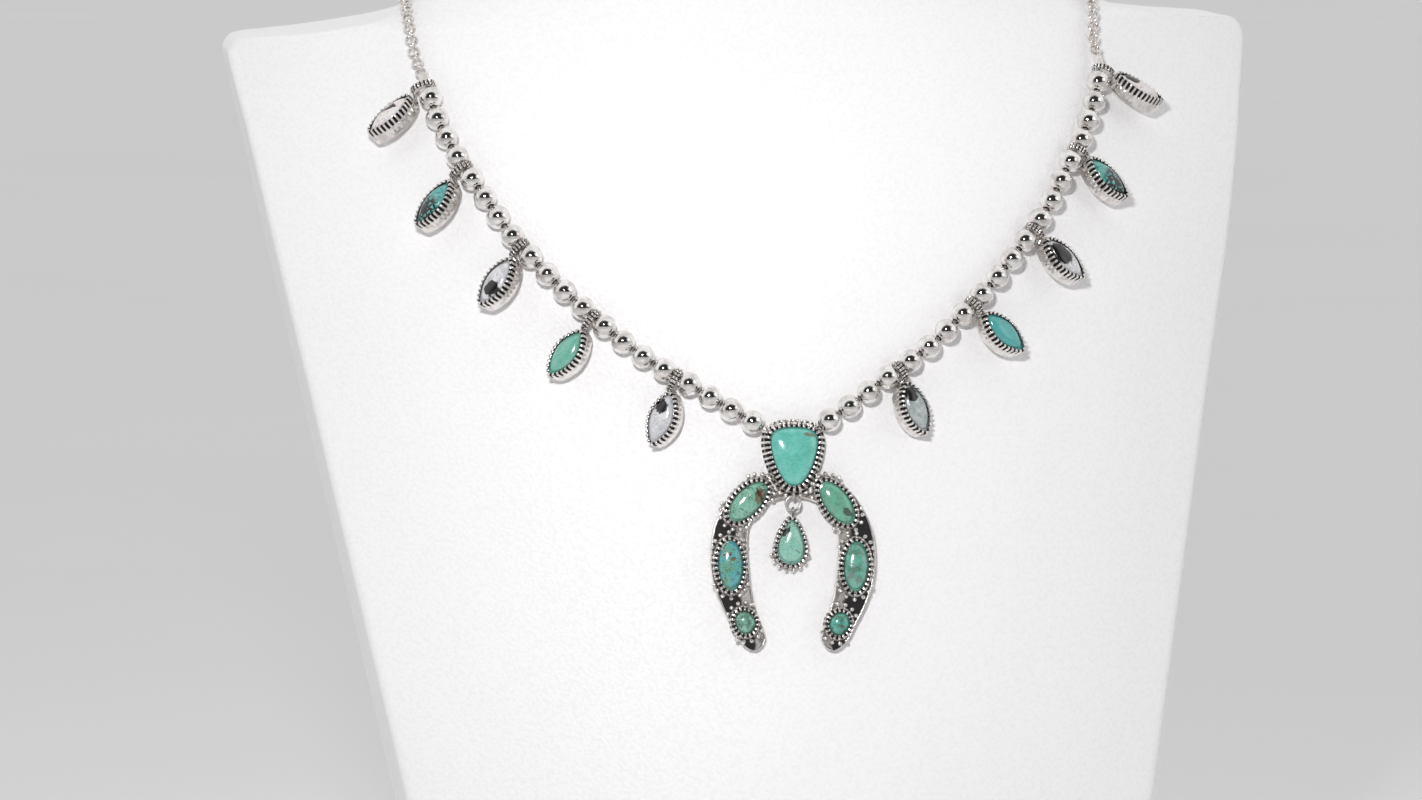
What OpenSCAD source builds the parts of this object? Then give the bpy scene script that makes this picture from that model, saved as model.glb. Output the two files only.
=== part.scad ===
// A squash blossom necklace on a neck bust.
// The strand of silver beads carries ten marquise drops and a horseshoe pendant called a naja.
// +Z is up, the bust faces -Y, and the origin is under the middle of its flat base.

/* [Bust] */
// Height of the bust from its base to the top of the neck
bust_h = 280; // [270:1:290]
// Width across the shoulders
shoulder_w = 221; // [216:1:228]
// Depth of the bust from front to back
bust_d = 124; // [120:1:130]
// Radius of the rounded chest, seen from above
chest_r = 160; // [150:1:175]
// Radius of the folded edges of the chest
edge_r = 4; // [2:0.5:8]

/* [Beads] */
// Diameter of a silver bead
bead_d = 4.95; // [4.6:0.05:5.1]
// Diameter of the hole through a bead
bead_bore = 1.1; // [1.1:0.05:1.4]
// Free space between two beads that lie side by side
bead_gap = 0.13; // [0.12:0.01:0.2]
// Extra free space where a drop hangs between two beads
bail_room = 0.85; // [0.8:0.05:1.4]
// Diameter of the thread through the beads
thread_d = 0.6; // [0.4:0.05:0.65]
// Height of the bead centres over the chest
bead_lift = 2.75; // [2.7:0.05:3.2]

/* [Drops] */
// Length of a marquise stone at its girdle
marquise_l = 10.8; // [9.6:0.1:11.4]
// Width of a marquise stone at its girdle
marquise_w = 5.6; // [5:0.1:6.2]
// Height of a cup from its back to the tips of its teeth
cup_h = 3.9; // [3.4:0.05:4.2]
// Thickness of the bezel wall round a stone
bezel_wall = 0.5; // [0.4:0.05:0.6]
// Teeth round a marquise cup
cup_teeth = 26; // [22:2:30]
// Outer radius of the bail that hangs on the thread
bail_r = 2.15; // [2.05:0.05:2.4]
// Width of the bail along the strand
bail_w = 1.3; // [1.1:0.05:1.35]
// Distance from the thread to the middle of the marquise stone
drop_reach = 9; // [8.8:0.1:9.6]

/* [Naja] */
// Thickness of the horseshoe plate
plate_t = 1.3; // [1.1:0.05:1.6]
// Height of the polished rim over the plate
rim_h = 0.35; // [0.2:0.05:0.6]
// Width of the polished rim
rim_w = 0.5; // [0.4:0.05:0.7]
// Height over the base of the bust at which the middle of the horseshoe hangs
naja_z = 104.5; // [104:0.1:105.4]
// Degrees by which the horseshoe hangs askew, clockwise
naja_turn = 1.9; // [0:0.1:3]
// Free space between the back of the pendant and the chest
naja_seat = 0.3; // [0.2:0.05:0.6]
// Radius of a silver grain
grain_r = 0.42; // [0.36:0.01:0.46]
// Radius of the jump ring, measured to the middle of its wire
ring_r = 1.5; // [1.45:0.05:1.7]

/* [Chain] */
// Radius of a chain link, measured to the middle of its wire
link_r = 1.1; // [1.05:0.05:1.3]
// Radius of the wire of a chain link
link_wire = 0.28; // [0.22:0.01:0.3]
// Length of the clasp behind the neck
clasp_l = 12; // [10:0.5:16]
// Width of the clasp
clasp_w = 4.6; // [4:0.1:6]
// Thickness of the clasp
clasp_t = 1.2; // [1:0.05:1.3]

/* [Hidden] */

silver = [0.83, 0.82, 0.80];
turquoise = [0.36, 0.74, 0.68];
white_stone = [0.86, 0.85, 0.83];
white_leather = [0.93, 0.92, 0.90];

// Smallest free space between a stone and its metal
stone_gap = 0.06;
// How far the teeth reach over a stone, and how high the stone's shoulder stands over its girdle
lip = 0.3;
shoulder = 0.15;
// Sideways place of the pendant on the chest
hang_offset = 1.2;
// Height on the pendant of the point that it turns about
hang_y = 12;
// Degrees by which the pear drop hangs askew on its jump ring
pear_turn = 2.5;

// Sections of the bust, from the base up. Each row gives the height as a share of bust_h,
// the half width as a share of shoulder_w / 2, the front and the back as shares of bust_d / 2,
// and how far the section has turned from a chest into a round neck.
HEIGHT = 0;
WIDTH = 1;
FRONT = 2;
BACK = 3;
NECK = 4;
bust_rows = [
    [0.000, 0.615, -1.000, 1.000, 0.00],
    [0.214, 0.724, -0.871, 1.000, 0.00],
    [0.393, 0.817, -0.734, 1.000, 0.00],
    [0.500, 0.872, -0.661, 1.000, 0.00],
    [0.589, 0.919, -0.613, 1.000, 0.00],
    [0.661, 0.955, -0.524, 1.000, 0.00],
    [0.714, 0.982, -0.403, 1.000, 0.00],
    [0.743, 0.997, -0.323, 1.000, 0.00],
    [0.754, 0.977, -0.290, 1.000, 0.00],
    [0.759, 0.851, -0.277, 1.000, 0.00],
    [0.768, 0.724, -0.253, 0.992, 0.15],
    [0.782, 0.656, -0.219, 0.976, 0.45],
    [0.807, 0.588, -0.161, 0.944, 0.80],
    [0.843, 0.529, -0.105, 0.911, 1.00],
    [0.900, 0.489, -0.056, 0.887, 1.00],
    [1.000, 0.471, -0.048, 0.887, 1.00]
];
// Heights at which the bust is cut into slices, as shares of bust_h
chest_slices = [for (k = [0 : 22]) k * 0.033];
shoulder_slices = [0.743, 0.7485, 0.754, 0.7565, 0.759, 0.7635, 0.768, 0.775, 0.782];
neck_slices = [0.7945, 0.807, 0.825, 0.843, 0.87, 0.9, 0.95, 1];

// Route of the strands over the chest. Each row gives the distance from the pendant's middle
// line and the height of the bead centres on the left and on the right.
strand_rows = [
    [5, 131.5, 131.5], [12, 135.6, 135.6], [20, 140.8, 141.1], [30, 147, 147.6], [38, 153.6, 154.5],
    [46, 161, 162.1], [52, 167.6, 168.9], [57, 173.7, 175], [61.5, 180.8, 182.2], [66, 187.9, 189.2],
    [69.5, 195.4, 196.5], [71.2, 202, 202.6]
];
// Route of the chain over the shoulder and round the neck. Each row gives a point of the right
// half as shares of shoulder_w / 2, bust_d / 2 and bust_h, and how much of the chest's rounding
// is added to its depth. The last one lies behind the neck.
chain_rows = [
    [0.6525, -0.3559, 0.7432, 1], [0.6597, -0.2567, 0.7661, 0.9], [0.6615, -0.0678, 0.78, 0.6],
    [0.6588, 0.1128, 0.7875, 0.4], [0.6353, 0.2977, 0.7918, 0.2], [0.59, 0.5645, 0.7954, 0],
    [0.5348, 0.7581, 0.8004, 0], [0.467, 0.8581, 0.8043, 0], [0.371, 0.9032, 0.8079, 0],
    [0.2534, 0.9355, 0.8125, 0], [0.1267, 0.9516, 0.8164, 0], [0, 0.9581, 0.8179, 0]
];
function chain_point(side, r) =
    let (x = r[0] * shoulder_w / 2)
    [side * x, r[1] * bust_d / 2 + r[3] * chest_sag(x), r[2] * bust_h];
chain_top = chain_point(1, chain_rows[len(chain_rows) - 1]);

// Each drop from the pendant outwards: its turn towards the ground in degrees, its reach as a
// share of drop_reach, and its roll away from the pendant in degrees
SWING = 0;
REACH = 1;
ROLL = 2;
left_drops = [[9.5, 1.02, 22], [3, 1.03, 24], [13, 1, 26], [16.5, 1.08, 28], [20, 1.1, 26]];
right_drops = [[12, 0.97, 20], [-4.5, 0.97, 20], [3, 0.98, 22], [10, 0.97, 20], [14, 1.02, 28]];

// Outline of the right half of the horseshoe, from the top of its outer edge round the tip
// to the top of its inner edge
horseshoe_rows = [
    [0, 18.6], [6.4, 17.6], [12, 14.2], [16, 8], [17.1, 1.5], [16.7, -4], [15.1, -9],
    [13, -13.2], [11.5, -16.2], [9.4, -18.3], [7.2, -18.3], [5.8, -16.4], [6.2, -14],
    [7.5, -10.5], [8.6, -6], [9.1, -1.5], [9.4, 3], [9, 7], [6.8, 10.6], [3.6, 12.4], [0, 12.9]
];
// Outline of the right half of the top stone, from its upper edge down to its tip
trillion_rows = [
    [0, 5.8], [2.9, 5.5], [4.75, 4.3], [5.15, 1.9], [4.4, -1.6], [3.15, -4.4], [1.7, -6.3], [0, -6.9]
];
// Places of the six oval stones: across, along, turn, length and width at the girdle, teeth
oval_rows = [
    ["upper_stone_left", -9.5, 12, 46, 10.8, 5.7, 26],
    ["middle_stone_left", -13.1, -1.1, 92, 10.9, 5.6, 26],
    ["lower_stone_left", -10.1, -12.8, 110, 5.4, 4.6, 18],
    ["upper_stone_right", 9, 11.8, 126, 10.8, 5.7, 26],
    ["middle_stone_right", 12.9, -1.3, 88, 10.9, 5.6, 26],
    ["lower_stone_right", 9.4, -13.1, 70, 5.4, 4.6, 18]
];
top_stone_y = 21.8;
pear_y = 3.7;
pear_l = 9.6;
pear_w = 6;
pear_teeth = 26;
top_teeth = 36;

// Vector helpers
function unit(v) = v / norm(v);
function turned(v, axis, a) = v * cos(a) + cross(axis, v) * sin(a) + axis * (axis * v) * (1 - cos(a));
function frame(x, y, z, p) = [
    [x[0], y[0], z[0], p[0]],
    [x[1], y[1], z[1], p[1]],
    [x[2], y[2], z[2], p[2]],
    [0, 0, 0, 1]
];

// Smooth value of column c of a table at height share h, which never overshoots its rows
function step_slope(t, i, c) = (t[i + 1][c] - t[i][c]) / (t[i + 1][0] - t[i][0]);
function row_slope(t, i, c) =
    let (
        n = len(t) - 1,
        d = step_slope(t, max(0, i - 1), c),
        e = step_slope(t, min(n - 1, i), c)
    )
    d * e <= 0 ? 0 : 2 * d * e / (d + e);
function row_value(t, h, c) =
    let (
        i = max([for (k = [0 : len(t) - 2]) if (k == 0 || h >= t[k][0]) k]),
        d = t[i + 1][0] - t[i][0],
        s = (h - t[i][0]) / d
    )
    t[i][c] * (1 + 2 * s) * (1 - s) * (1 - s) + row_slope(t, i, c) * d * s * (1 - s) * (1 - s)
    + t[i + 1][c] * s * s * (3 - 2 * s) - row_slope(t, i + 1, c) * d * s * s * (1 - s);

// Shape of the bust
function half_width(z) = shoulder_w / 2 * row_value(bust_rows, z / bust_h, WIDTH);
function front_line(z) = bust_d / 2 * row_value(bust_rows, z / bust_h, FRONT);
function back_line(z) = bust_d / 2 * row_value(bust_rows, z / bust_h, BACK);
function neck_share(z) = min(1, max(0, row_value(bust_rows, z / bust_h, NECK)));
function chest_sag(x) = chest_r - sqrt(chest_r * chest_r - x * x);
function chest_y(x, z) = front_line(z) + chest_sag(x);
function chest_normal(x, z) =
    unit([x / sqrt(chest_r * chest_r - x * x), -1, (chest_y(x, z + 1) - chest_y(x, z - 1)) / 2]);
// A bead centre over the chest: lift is measured square to the surface
function over_chest(x, z, lift) = [x, chest_y(x, z) + lift / chest_normal(x, z)[1], z];

// Half outline of a section at height z, from the middle of the front to the middle of the back
function half_section(z) =
    let (
        a = half_width(z), f = front_line(z), b = back_line(z), w = neck_share(z),
        xe = (a - edge_r) / (1 - edge_r / chest_r), turn = asin(xe / chest_r),
        cx = xe - edge_r * sin(turn), cy = f + chest_sag(xe) + edge_r * cos(turn),
        chest = concat(
            [for (k = [0 : 9]) [xe * k / 9, f + chest_sag(xe * k / 9)]],
            [for (k = [1 : 3])
                let (t = turn + (90 - turn) * k / 3) [cx + edge_r * sin(t), cy - edge_r * cos(t)]],
            [[cx + edge_r, (cy + b - edge_r) / 2]],
            [for (k = [0 : 2]) [cx + edge_r * cos(45 * k), b - edge_r + edge_r * sin(45 * k)]],
            [for (k = [1 : 3]) [cx * (1 - k / 3), b]]
        ),
        n = len(chest) - 1
    )
    [for (k = [0 : n])
        let (t = 180 * k / n, neck = [a * sin(t), (f + b) / 2 - (b - f) / 2 * cos(t)])
        chest[k] * (1 - w) + neck * w];
function section(z) =
    let (right = half_section(z), n = len(right))
    concat(
        [for (p = right) [p[0], p[1], z]],
        [for (k = [n - 2 : -1 : 1]) [-right[k][0], right[k][1], z]]
    );

// A closed skin over rings of points, each ring running the same way round
module skinned(rings) {
    n = len(rings[0]);
    m = len(rings);
    polyhedron(
        points = [for (r = rings) for (p = r) p],
        faces = concat(
            [[for (k = [0 : n - 1]) k]],
            [for (j = [0 : m - 2]) for (k = [0 : n - 1])
                let (a = j * n + k, b = j * n + (k + 1) % n) [a, a + n, b + n]],
            [for (j = [0 : m - 2]) for (k = [0 : n - 1])
                let (a = j * n + k, b = j * n + (k + 1) % n) [a, b + n, b]],
            [[for (k = [n - 1 : -1 : 0]) (m - 1) * n + k]]
        )
    );
}

// Smooth curve through points, with steps points on each stretch
function curve_point(a, b, c, d, t) =
    0.5 * (2 * b + (c - a) * t + (2 * a - 5 * b + 4 * c - d) * t * t + (3 * b - a - 3 * c + d) * t * t * t);
function open_curve(p, steps) =
    let (n = len(p) - 1)
    concat(
        [for (i = [0 : n - 1]) for (k = [0 : steps - 1])
            curve_point(
                i == 0 ? 2 * p[0] - p[1] : p[i - 1], p[i], p[i + 1],
                i == n - 1 ? 2 * p[n] - p[n - 1] : p[i + 2], k / steps)],
        [p[n]]
    );
function closed_curve(p, steps) =
    let (n = len(p))
    [for (i = [0 : n - 1]) for (k = [0 : steps - 1])
        curve_point(p[(i + n - 1) % n], p[i], p[(i + 1) % n], p[(i + 2) % n], k / steps)];
function lengths(p, i = 0, sum = 0) =
    i == len(p) - 1 ? [sum] : concat([sum], lengths(p, i + 1, sum + norm(p[i + 1] - p[i])));

// The route of one half of the necklace, with its length measured from the pendant. The points
// are those of the two tables above, and a table of lengths against places is made from them.
function strand_points(side) = concat(
    [for (r = strand_rows) over_chest(side * r[0] + hang_offset, r[side < 0 ? 1 : 2], bead_lift)],
    [for (r = chain_rows) chain_point(side, r)]
);
function measured(points) =
    let (s = lengths(points))
    [for (c = [0 : 2]) [for (k = [0 : len(points) - 1]) [s[k], points[k][c]]]];
routes = [for (side = [-1, 1]) measured(open_curve(strand_points(side), 8))];
function route(side) = routes[side < 0 ? 0 : 1];
function route_length(side) = let (t = route(side)[0]) t[len(t) - 1][0];
function on_route(side, s) = [for (c = [0 : 2]) lookup(s, route(side)[c])];
function along(side, s) = unit(on_route(side, s + 0.6) - on_route(side, s - 0.6));
// Middle line of the neck, which the chain's outward side is measured from
function outward(side, s) =
    let (
        p = on_route(side, s), t = along(side, s),
        bead_end = first_bead + 20 * bead_pitch + 5 * bail_room,
        n = s < bead_end ? chest_normal(p[0], p[2])
            : unit([p[0], p[1] - neck_y, 40 * max(0, 1 - (s - bead_end) / 60)])
    )
    unit(n - t * (n * t));

bead_pitch = bead_d + bead_gap;
first_bead = 3.5;
neck_y = 22;
function bead_s(k) = first_bead + k * bead_pitch + floor(k / 4) * bail_room;
function bail_s(k) = first_bead + (4 * k - 0.5) * bead_pitch + (k - 0.5) * bail_room;
cap_l = 2.2;
cap_r = 1;
cap_wall = 0.8;
cap_s = bail_s(5) + bail_w / 2 + 0.35;
socket_r = 0.8;
bore_play = 0.1;
bore_l = 0.5;
socket_l = 1.6;

module at_strand(side, s) {
    t = along(side, s);
    n = outward(side, s);
    multmatrix(frame(cross(t, n), t, n, on_route(side, s))) children();
}

// A tube along the strand from a to b
module tube_along(side, a, b, r, sides, step) {
    n = ceil((b - a) / step);
    skinned([for (k = [0 : n])
        let (
            s = a + (b - a) * k / n,
            z = outward(side, s),
            x = cross(along(side, s), z)
        )
        [for (j = [0 : sides - 1])
            on_route(side, s) + r * (cos(360 * j / sides) * x + sin(360 * j / sides) * z)]]);
}

// Outlines of stones, starting at the upper end
function ellipse(l, w) = [for (k = [0 : 71]) [w / 2 * sin(5 * k), l / 2 * cos(5 * k)]];
marquise_taper = 0.3;
function marquise(l, w) =
    [for (k = [0 : 71])
        let (y = cos(5 * k)) [w / 2 * sin(5 * k) * (1 - marquise_taper * y * y), l / 2 * y]];
pear_taper = 0.42;
pear_swell = 1.076;
function pear(l, w) =
    [for (k = [0 : 71])
        let (y = cos(5 * k)) [w / 2 * sin(5 * k) * (1 - pear_taper * y) / pear_swell, l / 2 * y]];
function mirrored(rows) =
    let (n = len(rows))
    concat(rows, [for (k = [n - 2 : -1 : 1]) [-rows[k][0], rows[k][1]]]);
function trillion() = closed_curve(mirrored(trillion_rows), 5);
function horseshoe() = closed_curve(mirrored(horseshoe_rows), 3);

// The closed outline p cut into n equal steps
function even(p, n) =
    let (q = concat(p, [p[0]]), s = lengths(q), total = s[len(s) - 1])
    [for (k = [0 : n - 1])
        [for (c = [0 : 1]) lookup(total * k / n, [for (j = [0 : len(q) - 1]) [s[j], q[j][c]]])]];
// The closed clockwise outline p moved outwards by d, or by d and e in turn
function outset(p, d, e) =
    let (n = len(p))
    [for (k = [0 : n - 1])
        let (t = unit(p[(k + 1) % n] - p[(k + n - 1) % n]))
        p[k] + [-t[1], t[0]] * (k % 2 == 0 ? d : e)];

// The outline p drawn in towards its middle, by d at its widest place
function middle(p) = [for (c = [0 : 1]) (max([for (v = p) v[c]]) + min([for (v = p) v[c]])) / 2];
function shrunk(p, d) =
    let (m = middle(p), half = max([for (v = p) v[0]]) - m[0])
    [for (v = p) m + (v - m) * (1 - d / half)];

// A bezel round an outline: a plain wall from z0, flutes cut into it from z1, and from z2 to z3
// teeth that fold in over the stone. The wall is thicker by flare below the teeth.
flute = 0.3;
module bezel(outline, teeth, z0, z1, z2, z3, wall, flare) {
    p = even(outline, 2 * teeth);
    pocket = outset(p, stone_gap, stone_gap);
    translate([0, 0, z0])
        linear_extrude(z1 - z0)
            difference() {
                polygon(outset(p, wall + flare, wall + flare));
                polygon(pocket);
            }
    translate([0, 0, z1])
        linear_extrude(z2 - z1)
            difference() {
                polygon(outset(p, wall + flare, wall + flare - flute));
                polygon(pocket);
            }
    translate([0, 0, z2])
        linear_extrude(z3 - z2)
            difference() {
                polygon(outset(p, wall, wall - 1.5 * flute));
                polygon(shrunk(p, lip));
            }
}

// A domed stone: a straight girdle, a shoulder that clears the teeth, and a dome
module cabochon(outline, n, z0, girdle, dome) {
    p = even(outline, n);
    q = shrunk(p, lip + 1.5 * stone_gap);
    m = middle(q);
    skinned(concat(
        [[for (v = p) [v[0], v[1], z0]], [for (v = p) [v[0], v[1], z0 + girdle]]],
        [for (a = [0, 22, 42, 60, 76])
            let (z = z0 + girdle + shoulder + dome * sin(a))
            [for (v = q) let (w = m + (v - m) * cos(a)) [w[0], w[1], z]]]
    ));
}

// Silver grains along part of an outline, from share a to share b of the way round
module grain_row(outline, d, a, b, count, z) {
    n = 120;
    p = outset(even(outline, n), d, d);
    for (k = [0 : count - 1]) {
        i = round(n * (a + (b - a) * k / max(1, count - 1)) + n) % n;
        translate([p[i][0], p[i][1], z]) sphere(grain_r, $fn = 24);
    }
}

module ring(r, wire) {
    rotate_extrude($fn = 48) translate([r, 0]) circle(wire, $fn = 24);
}

// Bust
module bust() {
    color(white_leather)
        skinned([for (h = concat(chest_slices, shoulder_slices, neck_slices)) section(h * bust_h)]);
}

// Naja: its own frame has +X across, +Y up the plate and +Z out of the chest
naja_low = naja_z - 18;
naja_high = naja_z + 29;
naja_lean = atan((front_line(naja_high) - front_line(naja_low)) / (naja_high - naja_low));
module in_naja() {
    up = [0, sin(naja_lean), cos(naja_lean)];
    out = [0, -cos(naja_lean), sin(naja_lean)];
    foot = [hang_offset, front_line(naja_low) + (naja_z - naja_low) * tan(naja_lean), naja_z];
    multmatrix(frame([1, 0, 0], up, out, foot + out * naja_seat)) hung(naja_turn, hang_y) children();
}
// Turned clockwise by a round the point (0, y)
module hung(a, y) {
    translate([0, y, 0]) rotate([0, 0, -a]) translate([0, -y, 0]) children();
}
oval_girdle = 0.7;
oval_dome = 1.2;
oval_seat = plate_t + stone_gap;
oval_teeth_z = oval_seat + oval_girdle + shoulder;
top_base = plate_t + 0.1;
top_girdle = 1.7;
top_dome = 1.5;
top_flare = 0.35;
top_teeth_z = top_base + stone_gap + top_girdle + shoulder;
// Width of the shelf round the top stone, under its bezel
top_shelf = 1;
// Height of the middle of a grain over the metal that it sits on
grain_up = 0.2;
teeth_h = 0.55;
eye_r = 0.85;
eye_wire = 0.28;
eye_y = 13.4;
eye_z = plate_t + rim_h + 0.38;
ring_wire = 0.28;
ring_y = eye_y - eye_r + eye_wire + ring_wire + 0.06 - ring_r;

// How far the rim stands back from a stone
rim_cut = 0.3;
top_cut = 0.6;
// How far a bezel sinks into the plate under it, and the height at which its flutes begin
sunk = 0.2;
bezel_foot = 0.2;
// Distance of the grains from the girdle of an oval and of the top stone
oval_grain = 1;
top_grain = 1.15;
tip_grain = 1.35;

module oval_place(row) {
    translate([row[1], row[2], 0]) rotate([0, 0, row[3] - 90]) children();
}
module naja_metal() {
    edge = even(horseshoe(), 132);
    linear_extrude(plate_t) polygon(edge);
    linear_extrude(plate_t + rim_h)
        difference() {
            polygon(edge);
            polygon(outset(edge, -rim_w, -rim_w));
            for (row = oval_rows)
                oval_place(row)
                    polygon(outset(even(ellipse(row[4], row[5]), 2 * row[6]), rim_cut, rim_cut));
            translate([0, top_stone_y]) polygon(outset(even(trillion(), 2 * top_teeth), top_cut, top_cut));
        }
    for (row = oval_rows) {
        outline = ellipse(row[4], row[5]);
        grains = row[6] > 20 ? 5 : 3;
        oval_place(row) {
            bezel(outline, row[6], plate_t - sunk, plate_t + bezel_foot, oval_teeth_z,
                oval_teeth_z + teeth_h, bezel_wall, 0);
            for (tip = [0, 0.5])
                grain_row(outline, oval_grain, tip - 0.08, tip + 0.08, grains, plate_t + grain_up);
        }
    }
    translate([0, top_stone_y, 0]) {
        linear_extrude(top_base)
            polygon(outset(even(trillion(), 2 * top_teeth), top_shelf, top_shelf - 0.25));
        bezel(trillion(), top_teeth, top_base - sunk, top_base + bezel_foot, top_teeth_z,
            top_teeth_z + teeth_h, bezel_wall, top_flare);
        grain_row(trillion(), top_grain, -0.11, 0.11, 9, top_base + 1.2);
        for (share = [0.41, 0.535])
            grain_row(trillion(), tip_grain, share, share + 0.055, 3, top_base + grain_up);
    }
    translate([0, eye_y, eye_z]) rotate([0, 90, 0]) ring(eye_r, eye_wire);
}
socket_end = first_bead - bead_d / 2 - 0.12;
module socket(side, r, a, b) {
    at_strand(side, (a + b) / 2)
        rotate([90, 0, 0]) cylinder(h = b - a, r = r, center = true, $fn = 32);
}
module naja() {
    color(silver)
        difference() {
            union() {
                in_naja() naja_metal();
                for (side = [-1, 1])
                    socket(side, socket_r, socket_end - socket_l, socket_end);
            }
            for (side = [-1, 1])
                socket(side, thread_d / 2 + bore_play, socket_end - bore_l, socket_end + 0.5);
            in_naja()
                translate([0, top_stone_y, top_base])
                    linear_extrude(top_teeth_z - top_base)
                        polygon(outset(even(trillion(), 2 * top_teeth), stone_gap, stone_gap));
        }
}
module top_stone() {
    color(turquoise)
        in_naja() translate([0, top_stone_y, 0])
            cabochon(trillion(), 36, top_base + stone_gap, top_girdle, top_dome);
}
module oval_stone(row) {
    color(turquoise)
        in_naja() oval_place(row)
            cabochon(ellipse(row[4], row[5]), 28, oval_seat, oval_girdle, oval_dome);
}

// Jump ring and pear drop
module jump_ring() {
    color(silver) in_pear() translate([0, ring_y, eye_z]) ring(ring_r, ring_wire);
}
pear_eye_r = 0.7;
pear_eye_wire = 0.25;
pear_eye_y = ring_y - ring_r + ring_wire + 0.06 - pear_eye_r + pear_eye_wire;
pear_floor = 0.4;
pear_wall = 0.7;
pear_back = 0.1;
pear_bed = pear_back + pear_floor;
pear_girdle = 1;
pear_teeth_z = pear_bed + stone_gap + pear_girdle + shoulder;
// Distance of the grains from the outside of the pear's wall
pear_grain = 0.35;
module in_pear() {
    in_naja() hung(pear_turn, eye_y) children();
}
module pear_setting() {
    color(silver)
        in_pear() {
            translate([0, pear_y, 0]) {
                translate([0, 0, pear_back])
                    linear_extrude(pear_floor + 0.1) {
                        p = even(pear(pear_l, pear_w), 2 * pear_teeth);
                        polygon(outset(p, pear_wall + 0.3, pear_wall));
                    }
                bezel(pear(pear_l, pear_w), pear_teeth, pear_bed, pear_bed + bezel_foot, pear_teeth_z,
                    pear_teeth_z + teeth_h, pear_wall, 0);
                grain_row(pear(pear_l, pear_w), pear_wall + pear_grain, 0.36, 0.64, 7, pear_bed + grain_up);
            }
            translate([0, pear_eye_y, eye_z]) rotate([0, 90, 0]) ring(pear_eye_r, pear_eye_wire);
        }
}
module pear_stone() {
    color(turquoise)
        in_pear() translate([0, pear_y, 0])
            cabochon(pear(pear_l, pear_w), 28, pear_bed + 0.1 + stone_gap, pear_girdle - 0.1, oval_dome);
}

// Beads and thread
module beads(side) {
    color(silver)
        for (k = [0 : 19])
            at_strand(side, bead_s(k))
                difference() {
                    sphere(d = bead_d, $fn = 48);
                    rotate([90, 0, 0]) cylinder(h = bead_d + 1, d = bead_bore, center = true, $fn = 24);
                }
}
module thread(side) {
    start = socket_end - bore_l + bore_play;
    end = cap_s + cap_l - cap_wall - 1.5 * bore_play;
    color(silver) tube_along(side, start, end, thread_d / 2, 8, 1.8);
}

// Drops: the frame of a drop has its origin under the middle of the cup, +Y towards the thread
// and +Z out of the cup
cup_floor = 1.6;
cup_seat = 0.35;
function drop_row(side, k) = (side < 0 ? left_drops : right_drops)[k - 1];
function drop_down(side, k) = -side * cross(outward(side, bail_s(k)), along(side, bail_s(k)));
function drop_axes(side, k) =
    let (
        n = outward(side, bail_s(k)),
        y = -turned(drop_down(side, k), n, -side * drop_row(side, k)[SWING]),
        z = turned(n, y, side * drop_row(side, k)[ROLL])
    )
    [cross(y, z), y, z];
function drop_foot(side, k) =
    let (
        n = outward(side, bail_s(k)), a = drop_axes(side, k), roll = drop_row(side, k)[ROLL],
        cup_half = marquise_w / 2 + bezel_wall,
        top = cup_seat - bead_lift + cup_half * sin(roll) + cup_h * cos(roll)
    )
    on_route(side, bail_s(k)) - a[1] * drop_reach * drop_row(side, k)[REACH] + n * top - a[2] * cup_h;
module at_drop(side, k) {
    a = drop_axes(side, k);
    multmatrix(frame(a[0], a[1], a[2], drop_foot(side, k))) children();
}
// A round rod of radius r from a to b
module rod(a, b, r) {
    z = unit(b - a);
    x = unit(cross(z, [0.3, 1, 0.2]));
    multmatrix(frame(x, cross(z, x), z, a)) cylinder(h = norm(b - a), r = r, $fn = 24);
}
// The bail is a long ribbed loop that hangs down from the thread to the cup
bail_ribs = 24;
bail_rib = 0.16;
bail_up = 1.85;
bail_wall = 0.66;
// Radius of the wire that joins a bail to its cup
rod_r = 0.55;
bail_down = 3.6;
function bail_low(side, k) =
    min(bail_down, drop_reach * drop_row(side, k)[REACH] - marquise_l / 2 - bezel_wall + 0.1);
module bail(side, k) {
    low = bail_low(side, k);
    half = (low + bail_up) / 2;
    at_strand(side, bail_s(k))
        rotate([90, 0, 0])
            translate([side * (low - bail_up) / 2, 0, -bail_w / 2])
                linear_extrude(bail_w)
                    difference() {
                        polygon([for (j = [0 : 2 * bail_ribs - 1])
                            let (a = 180 * j / bail_ribs, d = (j % 2) * bail_rib)
                            [(half - d) * cos(a), (bail_r - d) * sin(a)]]);
                        polygon([for (j = [0 : 47])
                            [(half - bail_wall) * cos(7.5 * j), (bail_r - bail_wall) * sin(7.5 * j)]]);
                    }
}
module drop_setting(side, k) {
    outline = marquise(marquise_l, marquise_w);
    a = drop_axes(side, k);
    color(silver) {
        bail(side, k);
        rod(
            on_route(side, bail_s(k)) + drop_down(side, k) * (bail_low(side, k) - bail_wall / 2),
            drop_foot(side, k) + a[1] * (marquise_l / 2 + bezel_wall / 2) + a[2] * cup_floor / 2,
            rod_r
        );
        at_drop(side, k) {
            linear_extrude(cup_floor) polygon(outset(even(outline, 2 * cup_teeth), bezel_wall, bezel_wall));
            bezel(outline, cup_teeth, cup_floor - 0.1, cup_floor + 0.5, cup_h - teeth_h, cup_h,
                bezel_wall, 0);
        }
    }
}
module drop_stone(side, k) {
    color(k % 2 == 1 ? white_stone : turquoise)
        at_drop(side, k)
            cabochon(marquise(marquise_l, marquise_w), 28, cup_floor + stone_gap,
                cup_h - teeth_h - cup_floor - stone_gap - shoulder, oval_dome);
}

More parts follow.
